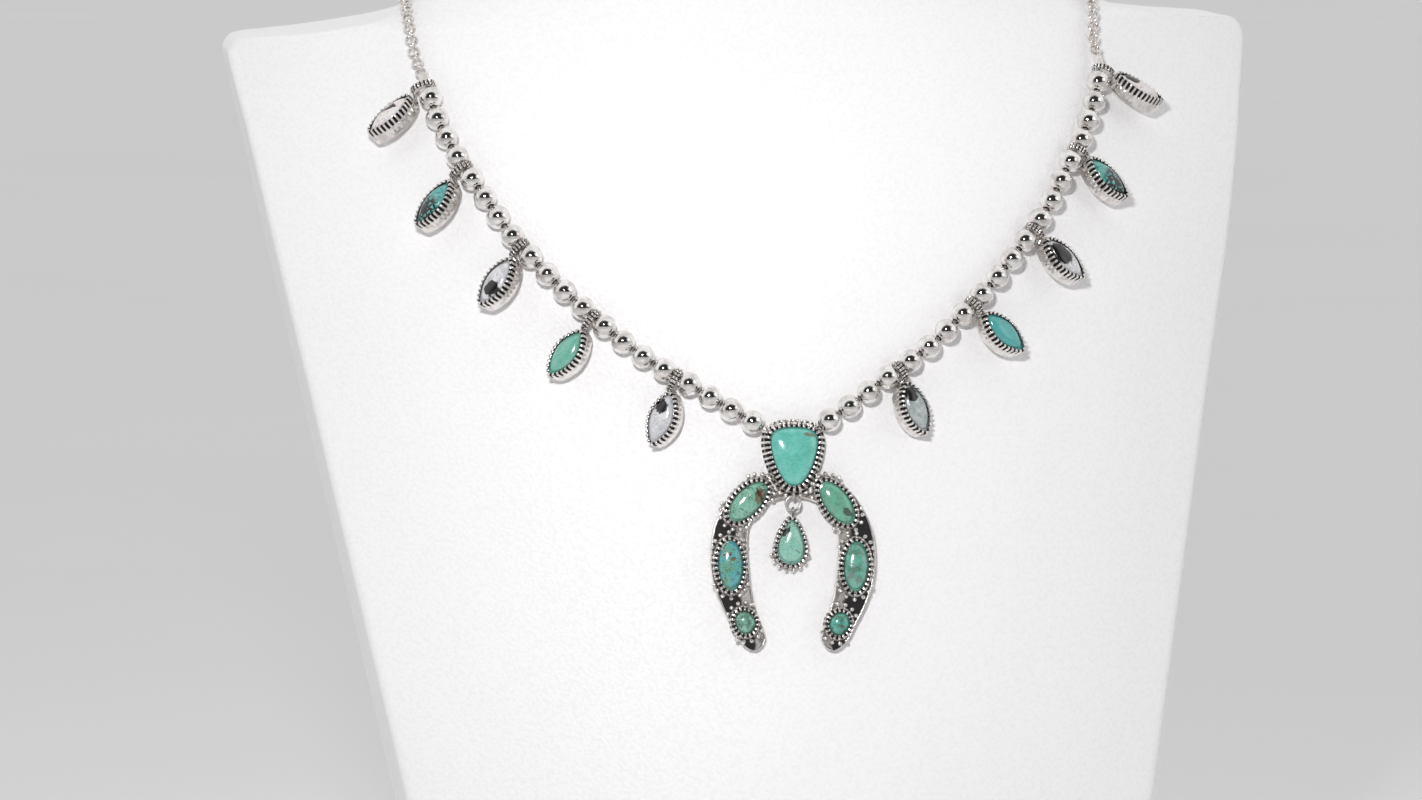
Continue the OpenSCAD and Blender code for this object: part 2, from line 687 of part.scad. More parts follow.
// Chain: a cap with an eye takes the end of the thread, and links run from it to the clasp
eye_s = cap_s + cap_l + 0.65;
link_pitch_max = 2 * (link_r - link_wire) - 0.12;
clasp_eye_s = clasp_l / 2 + link_r - 0.15;
function chain_span(side) = route_length(side) - clasp_eye_s - eye_s;
function link_count(side) = ceil(chain_span(side) / link_pitch_max);
function link_s(side, k) = eye_s + chain_span(side) * k / link_count(side);
module link(side, s, k) {
    at_strand(side, s) rotate([0, k % 2 == 0 ? 45 : -45, 0]) ring(link_r, link_wire);
}
module chain_end(side) {
    color(silver)
        difference() {
            union() {
                at_strand(side, cap_s + cap_l / 2)
                    rotate([90, 0, 0]) cylinder(h = cap_l, r = cap_r, center = true, $fn = 32);
                at_strand(side, eye_s) rotate([0, 45, 0]) rotate([0, 0, 90]) ring(link_r, link_wire);
            }
            at_strand(side, cap_s + (cap_l - cap_wall) / 2)
                rotate([90, 0, 0])
                    translate([0, 0, -(cap_l - cap_wall) / 2])
                        cylinder(h = cap_l - cap_wall + 0.5, r = thread_d / 2 + bore_play, $fn = 24);
        }
}
module chain(side) {
    color(silver)
        for (k = [1 : link_count(side) - 1]) link(side, link_s(side, k), k);
}
module clasp() {
    half = clasp_l / 2 - clasp_w / 2;
    color(silver) {
        translate([0, chain_top[1], chain_top[2]])
            rotate([90, 0, 0])
                linear_extrude(clasp_t, center = true) {
                    square([2 * half, clasp_w], center = true);
                    for (x = [-half, half]) translate([x, 0]) circle(d = clasp_w, $fn = 48);
                }
        for (side = [-1, 1]) link(side, link_s(side, link_count(side)), link_count(side));
    }
}

bust();
naja();
top_stone();
for (row = oval_rows)
    oval_stone(row);
jump_ring();
pear_setting();
pear_stone();
for (side = [-1, 1]) {
    name = side < 0 ? "left" : "right";
    beads(side);
    thread(side);
    for (k = [1 : 5]) {
        drop_setting(side, k);
        drop_stone(side, k);
    }
    chain_end(side);
    chain(side);
}
clasp();
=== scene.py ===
# %% [markdown]
# # A squash blossom necklace on its display bust
# Silver beads carry ten marquise drops and a horseshoe pendant, the naja, over a white bust.
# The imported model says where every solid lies. This script gives each of them its finished
# surface: fine teeth, ribs and grains in silver, domed stones, and a pebbled white cover.

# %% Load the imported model
import math
from functools import partial

import bpy
import numpy as np
from mathutils import Matrix


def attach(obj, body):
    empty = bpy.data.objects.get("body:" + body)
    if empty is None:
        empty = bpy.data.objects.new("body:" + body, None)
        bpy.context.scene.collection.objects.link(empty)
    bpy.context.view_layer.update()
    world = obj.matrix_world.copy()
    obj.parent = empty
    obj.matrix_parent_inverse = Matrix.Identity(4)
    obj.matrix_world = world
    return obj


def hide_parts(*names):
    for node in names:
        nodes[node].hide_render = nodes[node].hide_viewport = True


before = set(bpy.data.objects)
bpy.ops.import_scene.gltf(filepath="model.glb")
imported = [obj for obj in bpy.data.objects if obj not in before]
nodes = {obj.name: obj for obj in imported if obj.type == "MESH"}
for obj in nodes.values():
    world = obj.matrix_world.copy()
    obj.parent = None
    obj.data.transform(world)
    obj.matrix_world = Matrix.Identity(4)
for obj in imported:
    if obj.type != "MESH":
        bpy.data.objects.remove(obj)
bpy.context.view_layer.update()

MM = 0.001
SIDES = ("left", "right")

# %% [markdown]
# ## Reading places from the solids
# Beads, links, drops and stones take their places from the model. Each is one loose solid, and
# its corners tell where its middle is and which way it faces. Lengths are in millimetres.

# %% Corners and loose solids of a node
def corners(node):
    """The distinct corners of a node, and its triangles as rows of three of them."""
    mesh = nodes[node].data
    place = np.empty(3 * len(mesh.vertices), np.float32)
    mesh.vertices.foreach_get("co", place)
    order = np.empty(len(mesh.loops), np.int32)
    mesh.loops.foreach_get("vertex_index", order)
    rounded = np.round(place.reshape(-1, 3).astype(float) / MM, 3)
    points, index = np.unique(rounded, axis=0, return_inverse=True)
    return points, index.ravel()[order].reshape(-1, 3)


def loose_solids(node):
    """The corners of each loose solid. A corner takes the lowest label of its triangles, and
    then the label of that label, until nothing changes."""
    points, triangles = corners(node)
    label = np.arange(len(points))
    while True:
        lowest = label.copy()
        np.minimum.at(lowest, triangles.ravel(), np.repeat(label[triangles].min(axis=1), 3))
        lowest = lowest[lowest]
        if (lowest == label).all():
            return [points[label == k] for k in np.unique(label)]
        label = lowest


def unit(v):
    """The vector or rows of vectors with length one."""
    return v / np.linalg.norm(v, axis=-1, keepdims=True)


def middle_of(points):
    """The middle of the box round the points."""
    return (points.min(axis=0) + points.max(axis=0)) / 2


def spread_axes(points):
    """The directions in which points spread, from the widest to the flattest."""
    return np.linalg.svd(points - points.mean(axis=0), full_matrices=False)[2]


beads = {side: loose_solids(f"beads_{side}") for side in SIDES}
links = {side: loose_solids(f"chain_{side}") for side in SIDES}
print("beads:", [len(v) for v in beads.values()], "links:", [len(v) for v in links.values()])

# %% [markdown]
# ## Surfaces as grids
# A turned bead, a bezel or a wire is a ring of points carried along a second direction. One
# function joins such a grid with triangles, and closes its ends, so every piece is watertight.

# %% Grid surfaces
class Shell:
    """Points in millimetres, triangles, how black each point is with tarnish (0 to 1), and the
    place of each point in the piece's own frame."""

    def __init__(self, points, triangles, patina=0.0, place=None):
        self.points = points
        self.triangles = triangles
        self.patina = np.broadcast_to(patina, len(points))
        self.place = points if place is None else place

    def moved(self, axes, origin):
        """The shell carried into the frame with these axes, given as rows, and this origin."""
        return Shell(self.points @ axes + origin, self.triangles, self.patina, self.place)

    def shifted(self, x, y, z):
        """The shell moved without a turn."""
        return self.moved(np.eye(3), (x, y, z))

    def tarnished(self, patina):
        """The same shell, evenly tarnished."""
        return Shell(self.points, self.triangles, patina, self.place)


def grid(points, patina=0.0, closed=False):
    """A closed skin over points of shape (rows, columns, 3), where each row is a closed ring.
    closed joins the last row to the first. Otherwise a point at the middle of each end row
    closes that end. The volume's sign shows whether to turn the faces round."""
    rows, columns = points.shape[:2]
    index = np.arange(rows * columns).reshape(rows, columns)
    low, high = (index, np.roll(index, -1, 0)) if closed else (index[:-1], index[1:])
    quads = np.stack([low, high, np.roll(high, -1, 1), np.roll(low, -1, 1)], -1).reshape(-1, 4)
    triangles = [quads[:, [0, 1, 2]], quads[:, [0, 2, 3]]]
    flat = points.reshape(-1, 3)
    dark = np.broadcast_to(patina, (rows, columns)).reshape(-1)
    if not closed:
        for row, turn in ((0, 1), (rows - 1, -1)):
            ring = index[row]
            hub = np.full(columns, len(flat))
            triangles.append(np.stack([hub, ring, np.roll(ring, -1)], -1)[:, ::turn])
            flat = np.vstack([flat, points[row].mean(axis=0)])
            dark = np.append(dark, dark[ring].mean())
    triangles = np.vstack(triangles)
    a, b, c = (flat[triangles[:, k]] for k in range(3))
    if (a * np.cross(b, c)).sum() < 0:
        triangles = triangles[:, ::-1]
    return Shell(flat, triangles, dark)


def joined(shells):
    """Several shells as one."""
    starts = np.cumsum([0] + [len(s.points) for s in shells[:-1]])
    return Shell(
        np.vstack([s.points for s in shells]),
        np.vstack([s.triangles + k for s, k in zip(shells, starts)]),
        np.concatenate([s.patina for s in shells]),
        np.vstack([s.place for s in shells]),
    )


# %% From a shell to a piece
def in_scene(name, data):
    """An object for this data, linked to the scene."""
    item = bpy.data.objects.new(name, data)
    bpy.context.scene.collection.objects.link(item)
    return item


def piece(name, shell, finish, replaced, sharp=50):
    """A mesh object at the origin that rides on the bust's body and stands for CAD nodes."""
    mesh = bpy.data.meshes.new(name)
    mesh.from_pydata((shell.points * MM).tolist(), [], shell.triangles.tolist())
    mesh.validate()
    mesh.shade_smooth()
    mesh.set_sharp_from_angle(angle=math.radians(sharp))
    tarnish = mesh.attributes.new("patina", "FLOAT", "POINT")
    tarnish.data.foreach_set("value", shell.patina.astype(np.float32))
    place = mesh.attributes.new("place", "FLOAT_VECTOR", "POINT")
    place.data.foreach_set("vector", shell.place.astype(np.float32).ravel())
    mesh.materials.append(finish)
    item = in_scene(name, mesh)
    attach(item, "root")
    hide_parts(*replaced)
    print(f"{name}: {len(shell.triangles)} triangles")


# %% [markdown]
# ## Shader sums
# A finish is easier to read as arithmetic than as a web of nodes. Value wraps a socket, and its
# operators add Math nodes. Finish adds any other node from its type, settings and sockets.

# %% Value and Finish
def with_other(operation):
    """A method that adds a Math node of a value and another."""
    return lambda value, other: value.math(operation, value, other)


class Value:
    """A number that varies over the surface."""

    def __init__(self, finish, socket):
        self.finish = finish
        self.socket = socket

    def math(self, operation, *values):
        """A Math node on these values."""
        sockets = dict(enumerate(values))
        node = self.finish.add("ShaderNodeMath", {"operation": operation}, sockets)
        return Value(self.finish, node.outputs[0])

    __add__ = __radd__ = with_other("ADD")
    __sub__ = with_other("SUBTRACT")
    __mul__ = __rmul__ = with_other("MULTIPLY")
    __truediv__ = with_other("DIVIDE")
    most = with_other("MAXIMUM")

    def __rsub__(self, other):
        return self.math("SUBTRACT", other, self)

    def __abs__(self):
        return self.math("ABSOLUTE", self)

    def ramp(self, low, high):
        """0 at low, 1 at high, and smooth between."""
        settings = {"interpolation_type": "SMOOTHSTEP"}
        ends = (low, high, 0.0, 1.0) if low < high else (high, low, 1.0, 0.0)
        sockets = dict(zip(("From Min", "From Max", "To Min", "To Max"), ends), Value=self)
        node = self.finish.add("ShaderNodeMapRange", settings, sockets)
        return Value(self.finish, node.outputs["Result"])


class Finish:
    """A material with one Principled shader, whose plain numbers are set on its own sockets."""

    def __init__(self, name, **numbers):
        self.material = bpy.data.materials.new(name)
        self.material.use_nodes = True
        self.tree = self.material.node_tree
        self.shader = self.tree.nodes["Principled BSDF"]
        for key, number in numbers.items():
            self.shader.inputs[key.replace("_", " ")].default_value = number

    def add(self, kind, settings=None, sockets=None):
        """A node of this type. Settings come first, then each socket's value or link."""
        node = self.tree.nodes.new(kind)
        for key, value in (settings or {}).items():
            setattr(node, key, value)
        for key, value in (sockets or {}).items():
            self.link(node.inputs[key], value)
        return node

    def link(self, socket, value):
        """Links a Value or a socket, or sets a number or colour."""
        source = value.socket if isinstance(value, Value) else value
        if isinstance(source, bpy.types.NodeSocket):
            self.tree.links.new(source, socket)
        else:
            socket.default_value = source

    def feed(self, **values):
        """Links values to the shader's own sockets."""
        for key, value in values.items():
            self.link(self.shader.inputs[key.replace("_", " ")], value)

    def attribute(self, name, output):
        """A named attribute of the mesh."""
        return self.add("ShaderNodeAttribute", {"attribute_name": name}).outputs[output]

    def objects_place(self):
        """Object coordinates, in metres."""
        return self.add("ShaderNodeTexCoord").outputs["Object"]

    def noise(self, place, scale, detail, rough=0.5, distort=0.0, output="Fac"):
        """Fractal noise: scale is its cells per unit of place."""
        sockets = {"Vector": place, "Scale": scale, "Detail": detail,
                   "Roughness": rough, "Distortion": distort}
        found = self.add("ShaderNodeTexNoise", None, sockets).outputs[output]
        return Value(self, found) if output == "Fac" else found

    def cells(self, place, scale, feature="F1"):
        """Distance to the nearest cell middle, or to the nearest edge between cells."""
        sockets = {"Vector": place, "Scale": scale}
        node = self.add("ShaderNodeTexVoronoi", {"feature": feature}, sockets)
        return Value(self, node.outputs["Distance"])

    def mix(self, share, first, second):
        """A colour between two."""
        sockets = {0: share, 6: first, 7: second}
        return self.add("ShaderNodeMix", {"data_type": "RGBA"}, sockets).outputs[2]

    def vector(self, operation, first, second, output="Vector"):
        """A Vector Math node."""
        node = self.add("ShaderNodeVectorMath", {"operation": operation}, {0: first, 1: second})
        return node.outputs[output]

    def along(self, place, way):
        """How far a place lies along a direction, times the direction's length."""
        return Value(self, self.vector("DOT_PRODUCT", place, way, "Value"))

    def relief(self, height, depth):
        """Bump from a height of 0 to 1, of a depth in metres."""
        node = self.add("ShaderNodeBump", None, {"Height": height, "Distance": depth})
        self.feed(Normal=node.outputs["Normal"])


def rgb(red, green, blue):
    """A colour as a screen shows it, 0 to 255, made linear."""
    share = np.array([red, green, blue]) / 255
    linear = np.where(share < 0.04045, share / 12.92, ((share + 0.055) / 1.055) ** 2.4)
    return (*linear.tolist(), 1.0)


# %% [markdown]
# ## Finishes of the metal, the thread and the cover
# The silver is polished where a cloth reaches and left black where it doesn't: in the gaps
# between teeth and grains. The patina attribute says where, worked out with the shapes
# themselves, so the black sits in the real gaps from every side. The cover of the bust is white
# leatherette with a fine pebble, which cells with soft edges give.

# %% Silver
def silver_finish(name, bright, gloss):
    """Polished silver with tarnish in its gaps. gloss is the roughness of the polished places."""
    made = Finish(name)
    place = made.objects_place()
    cloud = made.noise(place, 650.0, 5.0)
    fine = made.noise(place, 2600.0, 3.0)
    gap = Value(made, made.attribute("patina", "Fac"))
    black = (gap + 0.4 * (cloud - 0.5)).ramp(0.22, 0.6)
    worn = made.mix(cloud.ramp(0.35, 0.75), bright, rgb(206, 200, 196))
    colour = made.mix(black, worn, rgb(22, 19, 20))
    rough = gloss + 0.1 * cloud.ramp(0.4, 0.8) + 0.32 * black
    made.feed(Base_Color=colour, Metallic=1.0 - 0.55 * black, Roughness=rough)
    made.relief(0.7 * cloud + 0.3 * fine, 0.00005)
    return made.material


silver = silver_finish("polished_silver", rgb(240, 237, 234), 0.19)
bead_silver = silver_finish("bead_silver", rgb(244, 242, 240), 0.05)
print("silver finishes:", silver.name, bead_silver.name)

# %% Thread and cover
def thread_finish():
    """Grey braided thread: its strands run round the cord as slanted waves, painted darker in the
    dips between them as painted shade.
    """
    made = Finish("thread_grey", Roughness=0.7, Sheen_Weight=0.3)
    place = made.objects_place()
    sockets = {"Vector": place, "Scale": 900.0, "Distortion": 1.5}
    strands = Value(made, made.add("ShaderNodeTexWave", None, sockets).outputs["Fac"])
    # the colour follows the relief, dark in the dips between strands: painted shade
    made.feed(Base_Color=made.mix(strands, rgb(120, 116, 112), rgb(196, 192, 186)))
    made.relief(strands, 0.0001)
    return made.material


def leatherette_finish():
    """White pebbled cover: soft cells 0.7 mm wide, finer wrinkles inside them, and
    a little grey in the furrows, which is painted shade."""
    made = Finish("white_leatherette", Coat_Roughness=0.45, Coat_IOR=1.45)
    place = made.objects_place()
    swirl = made.noise(place, 420.0, 2.0, output="Color")
    bent = made.vector("ADD", place, made.vector("MULTIPLY", swirl, (0.0006, 0.0006, 0.0006)))
    pebble = made.cells(bent, 1500.0, "SMOOTH_F1").ramp(0.75, 0.1)
    wrinkle = made.noise(place, 3600.0, 3.0)
    tone = made.noise(place, 14.0, 3.0)
    height = 0.75 * pebble + 0.25 * wrinkle
    furrow = height.ramp(0.55, 0.2)
    plain = made.mix(tone, rgb(247, 246, 246), rgb(251, 250, 251))
    # the furrows, where the relief is low, are greyed a little: painted shade
    made.feed(Base_Color=made.mix(0.15 * furrow, plain, rgb(226, 222, 224)))
    made.feed(Roughness=0.48 + 0.2 * furrow, Coat_Weight=0.12 * pebble)
    made.relief(height, 0.00007)
    return made.material


thread_grey = thread_finish()
leatherette = leatherette_finish()
print("soft finishes:", thread_grey.name, leatherette.name)

# %% [markdown]
# ## Finish of the stones
# Turquoise is a mottled blue-green with dark lines of the rock it grew in, and the white stones
# carry black patches of the same rock. Each stone has its own place, in millimetres from its
# middle, so a patch can be put where this stone has it. Patches have wandering edges because
# noise moves the place first.

# %% Stones
BLACK = rgb(12, 10, 12)
BROWN = rgb(74, 52, 40)


def stone_finish(name, main, other, vein, veins=0.0, mottle=0.5, patches=(), seed=0.0, web=None):
    """A polished stone. main and other mix by noise, veins is how much of the surface has lines of
    the colour vein, patches are (x, y, half width, half length, turn, colour), and web gives the
    place and size of an area of black net."""
    made = Finish(name, IOR=1.61, Coat_Roughness=0.04, Coat_Weight=0.35)
    own = made.attribute("place", "Vector")
    shifted = made.vector("ADD", own, (seed, 1.7 * seed, 0.4 * seed))
    swirl = made.noise(shifted, 0.8, 3.0, output="Color")
    sway = made.vector("SUBTRACT", swirl, (0.5, 0.5, 0.5))
    bent = made.vector("ADD", own, made.vector("MULTIPLY", sway, (1.5, 1.5, 0.0)))
    cloud = made.noise(shifted, 0.55, 7.0, 0.62)
    speck = made.noise(shifted, 2.6, 6.0, 0.6)
    colour = made.mix(cloud.ramp(0.5 - 0.3 * mottle, 0.5 + 0.3 * mottle), main, other)
    colour = made.mix(0.45 * speck.ramp(0.48, 0.75), colour, vein)
    line = abs(made.noise(shifted, 0.42, 4.0, 0.55, 0.6) - 0.5).ramp(0.03, 0.004)
    broken = made.noise(shifted, 0.9, 2.0).ramp(0.62 - 0.25 * veins, 0.7 - 0.25 * veins)
    hair = line * broken * min(0.7, veins)
    colour = made.mix(hair, colour, vein)
    dark = hair
    for x, y, half_width, half_length, turn, tint in patches:
        cos, sin = math.cos(math.radians(turn)), math.sin(math.radians(turn))
        off = made.vector("SUBTRACT", bent, (x, y, 0.0))
        across = made.along(off, (cos / half_width, sin / half_width, 0.0))
        along = made.along(off, (-sin / half_length, cos / half_length, 0.0))
        inside = (across * across + along * along + 0.7 * (speck - 0.5)).ramp(1.15, 0.8)
        colour = made.mix(inside, colour, tint)
        dark = dark.most(inside)
    if web:
        x, y, size = web
        far = Value(made, made.vector("DISTANCE", bent, (x, y, 2.5), "Value"))
        net = made.cells(bent, 1.1, "DISTANCE_TO_EDGE").ramp(0.26, 0.14)
        net = net * (far / size + 0.5 * (speck - 0.5)).ramp(1.15, 0.75)
        colour = made.mix(net, colour, BLACK)
        dark = dark.most(net)
    made.feed(Base_Color=colour, Roughness=0.1 + 0.07 * speck + 0.12 * dark)
    made.relief(0.4 * speck - 0.4 * dark, 0.00003)
    return made.material


# %% [markdown]
# ## Turned and drawn wire
# Beads are two stamped half balls soldered together and drilled, so a bead is a profile turned
# round its own hole, with a soft lip at the hole. Wire rings and grains are the simplest grids.

# %% Wire, rings, grains and tubes
def circle(count):
    """Angles once round."""
    return np.linspace(0, 2 * np.pi, count, endpoint=False)


def turned(radius, height, columns, patina, closed=False):
    """A profile turned about +Y: radius, height and patina are rows, and columns go round."""
    angle = circle(columns)
    radius, height = radius[:, None], height[:, None]
    points = np.stack([radius * np.cos(angle), height + 0 * angle, radius * np.sin(angle)], -1)
    return grid(points, patina[:, None], closed)


def wire_ring(radius, wire, columns=28, sides=10):
    """A ring of round wire about +Z."""
    u, v = circle(columns)[:, None], circle(sides)
    out = radius + wire * np.cos(v)
    points = np.stack([out * np.cos(u), out * np.sin(u), wire * np.sin(v) + 0 * u], -1)
    return grid(points, closed=True)


def grain(radius):
    """A ball of silver, blackened where it meets the metal under it."""
    tilt = np.linspace(-0.5 * np.pi, 0.5 * np.pi, 11)[1:-1]
    dark = np.clip(-2.2 * np.sin(tilt) - 0.1, 0, 1)
    ball = turned(radius * np.cos(tilt), radius * np.sin(tilt), 14, dark)
    return ball.moved([[1, 0, 0], [0, 0, 1], [0, -1, 0]], [0, 0, 0])


BEAD_FRONT = np.array([0.2, -1.0, 0.3])
TUBE_FRONT = np.array([0.1, -1.0, 0.2])


def axes_about(direction):
    """Rows x, y, z with y along direction and z as near to BEAD_FRONT as it can be."""
    y = unit(direction)
    z = unit(BEAD_FRONT - y * (BEAD_FRONT @ y))
    return np.array([np.cross(y, z), y, z])


def tube(path, radius, sides, patina):
    """A round tube along a path. Each ring stands square to the path, and neighbouring rings
    share the same side direction, so the tube doesn't twist."""
    along = unit(np.gradient(path, axis=0))
    out = unit(TUBE_FRONT - along * (along @ TUBE_FRONT)[:, None])
    side = np.cross(along, out)
    v = circle(sides)[None, :, None]
    radius = np.broadcast_to(radius, len(path))[:, None, None]
    points = path[:, None] + radius * (np.cos(v) * out[:, None] + np.sin(v) * side[:, None])
    return grid(points, np.broadcast_to(patina, len(path))[:, None])


# %% Beads
def bead_shell(radius, bore):
    """A ball of this radius with a drilled hole and a rounded lip."""
    rim = math.asin((bore + 0.12) / radius)
    tilt = np.linspace(rim, math.pi - rim, 26)
    out, height = radius * np.sin(tilt), radius * np.cos(tilt)
    top = height[0]
    out = np.concatenate([[bore, bore + 0.03], out, [bore + 0.03, bore]])
    height = np.concatenate([[top - 0.12, top - 0.02], height, [0.02 - top, 0.12 - top]])
    dark = np.clip((bore + 0.35 - out) / 0.3, 0, 1)
    return turned(out, height, 44, dark, closed=True)


BEAD_BORE = 0.55
bead_radius = np.ptp(beads["left"][0], axis=0).max() / 2
ball = bead_shell(bead_radius, BEAD_BORE)
middles = {}
for side in SIDES:
    row = np.array([middle_of(b) for b in beads[side]])
    row = middles[side] = row[np.argsort(row[:, 2])]
    shells = [ball.moved(axes_about(w), p) for p, w in zip(row, np.gradient(row, axis=0))]
    piece(f"silver_beads_{side}", joined(shells), bead_silver, [f"beads_{side}"])

# %% [markdown]
# ## Outlines
# A stone's outline is one closed curve. The marquise and the pear are an ellipse whose width is
# changed by its own height, and the top stone and the horseshoe are smooth curves through a few
# points. Everything that holds a stone is an offset of its outline.

# %% Closed outlines
def ellipse(length, width, share):
    """Once round clockwise from the upper end."""
    turn = 2 * np.pi * share
    return np.stack([width / 2 * np.sin(turn), length / 2 * np.cos(turn)], -1)


def marquise(length, width, share):
    """An ellipse that narrows towards both ends."""
    points = ellipse(length, width, share)
    points[:, 0] *= 1 - 0.3 * np.cos(2 * np.pi * share) ** 2
    return points


def pear(length, width, share):
    """An ellipse that narrows towards its upper end."""
    points = ellipse(length, width, share)
    points[:, 0] *= (1 - 0.42 * np.cos(2 * np.pi * share)) / 1.076
    return points


def through(rows, share):
    """A smooth closed curve through the rows of a right half and their mirror images: between
    two rows each part is the cubic that leaves and meets them along their neighbours' chord."""
    right = np.array(rows)
    p = np.vstack([right, right[-2:0:-1] * [-1, 1]])
    at = share % 1 * len(p)
    k = at.astype(int) % len(p)
    t = (at - np.floor(at))[:, None]
    a, b, c, d = (p[(k + j) % len(p)] for j in (-1, 0, 1, 2))
    square, cube = 2 * a - 5 * b + 4 * c - d, 3 * b - a - 3 * c + d
    return 0.5 * (2 * b + (c - a) * t + square * t**2 + cube * t**3)


def evenly(curve, count):
    """The curve's points at equal steps along its length."""
    fine = curve(np.linspace(0, 1, 4001))
    length = np.concatenate([[0], np.cumsum(np.linalg.norm(np.diff(fine, axis=0), axis=1))])
    at = np.linspace(0, length[-1], count, endpoint=False)
    return np.stack([np.interp(at, length, fine[:, c]) for c in (0, 1)], -1)


def outward(outline):
    """The outward direction at each point of a clockwise outline."""
    way = unit(np.roll(outline, -1, 0) - np.roll(outline, 1, 0))
    return np.stack([-way[:, 1], way[:, 0]], -1)


# %% [markdown]
# ## Bezels and stones
# The silversmith files teeth into the edge of a strip, bends it round the stone and folds the
# teeth over the stone's edge. So a bezel is an outline carried up a profile: a plain wall, flutes
# that grow deeper towards the top, tips that lean in over the stone, and black between them.

# %% Bezel
TOOTH_POINTS = 10
TOOTH_REACH = 0.3
CUP_WALL = 0.5
DOME_HIGH = 1.31
DOME_INSIDE = 0.39
SHOULDER = 0.15


def bezel(curve, low, foot, high, seat, teeth, wall=CUP_WALL, cut=0.4, flare=0.0, spike=0.0):
    """A toothed cup round an outline. rows go up its profile, and wave is 1 along a tooth's ridge
    and 0 in a gap. The flutes begin at foot, flare leans their feet out, spike makes the feet
    narrow and deep, as filed spikes are, and seat is the height of the pocket's floor."""
    p = evenly(curve, teeth * TOOTH_POINTS)
    n = outward(p)
    wave = 0.5 + 0.5 * np.cos(2 * np.pi * np.arange(len(p)) / TOOTH_POINTS)
    rise = high - foot
    rows = [
        # distance, height, flute, tarnish
        (wall + flare - 0.16, low, 0, 0.3),
        (wall + flare - 0.04, low + 0.05, 0, 0.2),
        (wall + flare, low + 0.16, 0, 1.6 * spike),
        (wall + flare, foot - 0.02, 0, 1.6 * spike),
        (wall + flare, foot + 0.08 * rise, 0.4 + 1.6 * spike, 0.3),
        (wall + 0.92 * flare, foot + 0.25 * rise, 0.9 + 1.4 * spike, 0.9),
        (wall + 0.7 * flare, foot + 0.5 * rise, 1 + 0.9 * spike, 1),
        (wall + 0.45 * flare, foot + 0.72 * rise, 1.05 + 0.4 * spike, 1),
        (wall + 0.2 * flare, foot + 0.88 * rise, 1.15, 1),
        (wall - 0.07, foot + 0.96 * rise, 1.2, 1),
        (wall - 0.2, high, 1.2, 1),
        (wall - 0.38, high - 0.01, 1.0, 1),
        (0.35 * wall - TOOTH_REACH, high - 0.08, 0.2, 1),
        # the last four rows lie over the stone and inside the pocket
        (-TOOTH_REACH, high - 0.2, -0.6, 1),
        (-TOOTH_REACH + 0.03, high - 0.36, -0.6, 1),
        (0.04, high - 0.5, 0, 1),
        (0.04, seat, 0, 1),
    ]
    away, height, flute, dark = np.array(rows).T[:, :, None]
    sharper = 1.3 + 2.2 * spike * np.clip(1 - (height - foot) / (0.8 * rise), 0, 1)
    gap = 1 - np.clip(1.5 * wave, 0, 1) ** sharper
    sink = np.clip((height - foot - 0.5 * rise) / (0.5 * rise), 0, 1) * (height > foot)
    offset = away - cut * flute * gap
    points = np.empty((len(rows), len(p), 3))
    points[..., :2] = p + offset[..., None] * n
    points[..., 2] = height - 0.22 * sink * gap * (flute != 0)
    inner = np.arange(len(rows))[:, None] >= len(rows) - 4
    tarnish = np.clip(dark * np.clip(1.7 * gap - 0.1, 0, 1) + 0.8 * inner, 0, 1)
    return grid(points, tarnish)


def cabochon(curve, low, girdle, top, columns=96):
    """A domed stone: straight to its girdle, a shoulder under the teeth, then an elliptic dome
    that starts DOME_INSIDE inside the outline."""
    p = evenly(curve, columns)
    middle = middle_of(p)
    q = middle + (p - middle) * (1 - DOME_INSIDE / (np.ptp(p[:, 0]) / 2))
    rise = top - girdle - SHOULDER
    rings = [(p, low + 0.05), (p, girdle)]
    for a in np.linspace(0, 0.5 * np.pi, 22)[:-1]:
        inside = middle + (q - middle) * math.cos(a) ** 0.93
        rings.append((inside, girdle + SHOULDER + rise * math.sin(a)))
    points = np.array([np.column_stack([r, np.full(columns, z)]) for r, z in rings])
    shell = grid(points)
    shell.points[-1, 2] = top
    return shell


# %% [markdown]
# ## The ten drops
# Each drop is a marquise cup soldered to a ribbed bail that rides on the thread. The stone's own
# solid gives the drop's frame: it is longest along the cup, and flattest out of it. The bail is a
# long loop round the thread, of two rows of fine ribs side by side.

# %% Where the drops are
bust_points, bust_triangles = corners("bust")
bust_middles = bust_points[bust_triangles].mean(axis=1)
a, b, c = (bust_points[bust_triangles[:, k]] for k in range(3))
bust_ways = unit(np.cross(b - a, c - a))


def off_bust(point):
    """The direction out of the bust, as a mean over its nearest triangles."""
    near = np.argsort(np.linalg.norm(bust_middles - point, axis=1))[:6]
    return unit(bust_ways[near].mean(axis=0))


BEADS_A_DROP = 4


class Drop:
    """Where one drop lies: the thread through its bail, its own frame, and its sizes."""

    def __init__(self, side, k):
        self.name = f"{side}_{k}"
        row = middles[side]
        at = BEADS_A_DROP * k
        before = row[at - 1]
        after = row[at] if at < len(row) else 2 * before - row[at - 2]
        spacing = np.linalg.norm(row[BEADS_A_DROP] - row[BEADS_A_DROP - 1])
        self.way = unit(after - before)
        self.thread = before + self.way * spacing / 2
        stone = corners(f"drop_stone_{self.name}")[0]
        y, _, z = spread_axes(stone)
        middle = stone.mean(axis=0)
        y = y * np.sign((self.thread - middle) @ y)
        z = z * np.sign(z @ off_bust(self.thread))
        self.axes = np.array([np.cross(y, z), y, z])
        local = (stone - middle) @ self.axes.T
        self.base = local[:, 2].min()
        self.origin = middle + z * self.base
        self.width, self.length, self.top = np.ptp(local, axis=0)
        cup = (corners(f"drop_setting_{self.name}")[0] - self.origin) @ self.axes.T
        cup = cup[(abs(cup[:, 1]) < 0.4 * self.length) & (abs(cup[:, 0]) < self.width)]
        self.low, self.high = cup[:, 2].min(), cup[:, 2].max()
        self.reach = (self.thread - self.origin) @ y
        self.outline = partial(marquise, self.length, self.width)


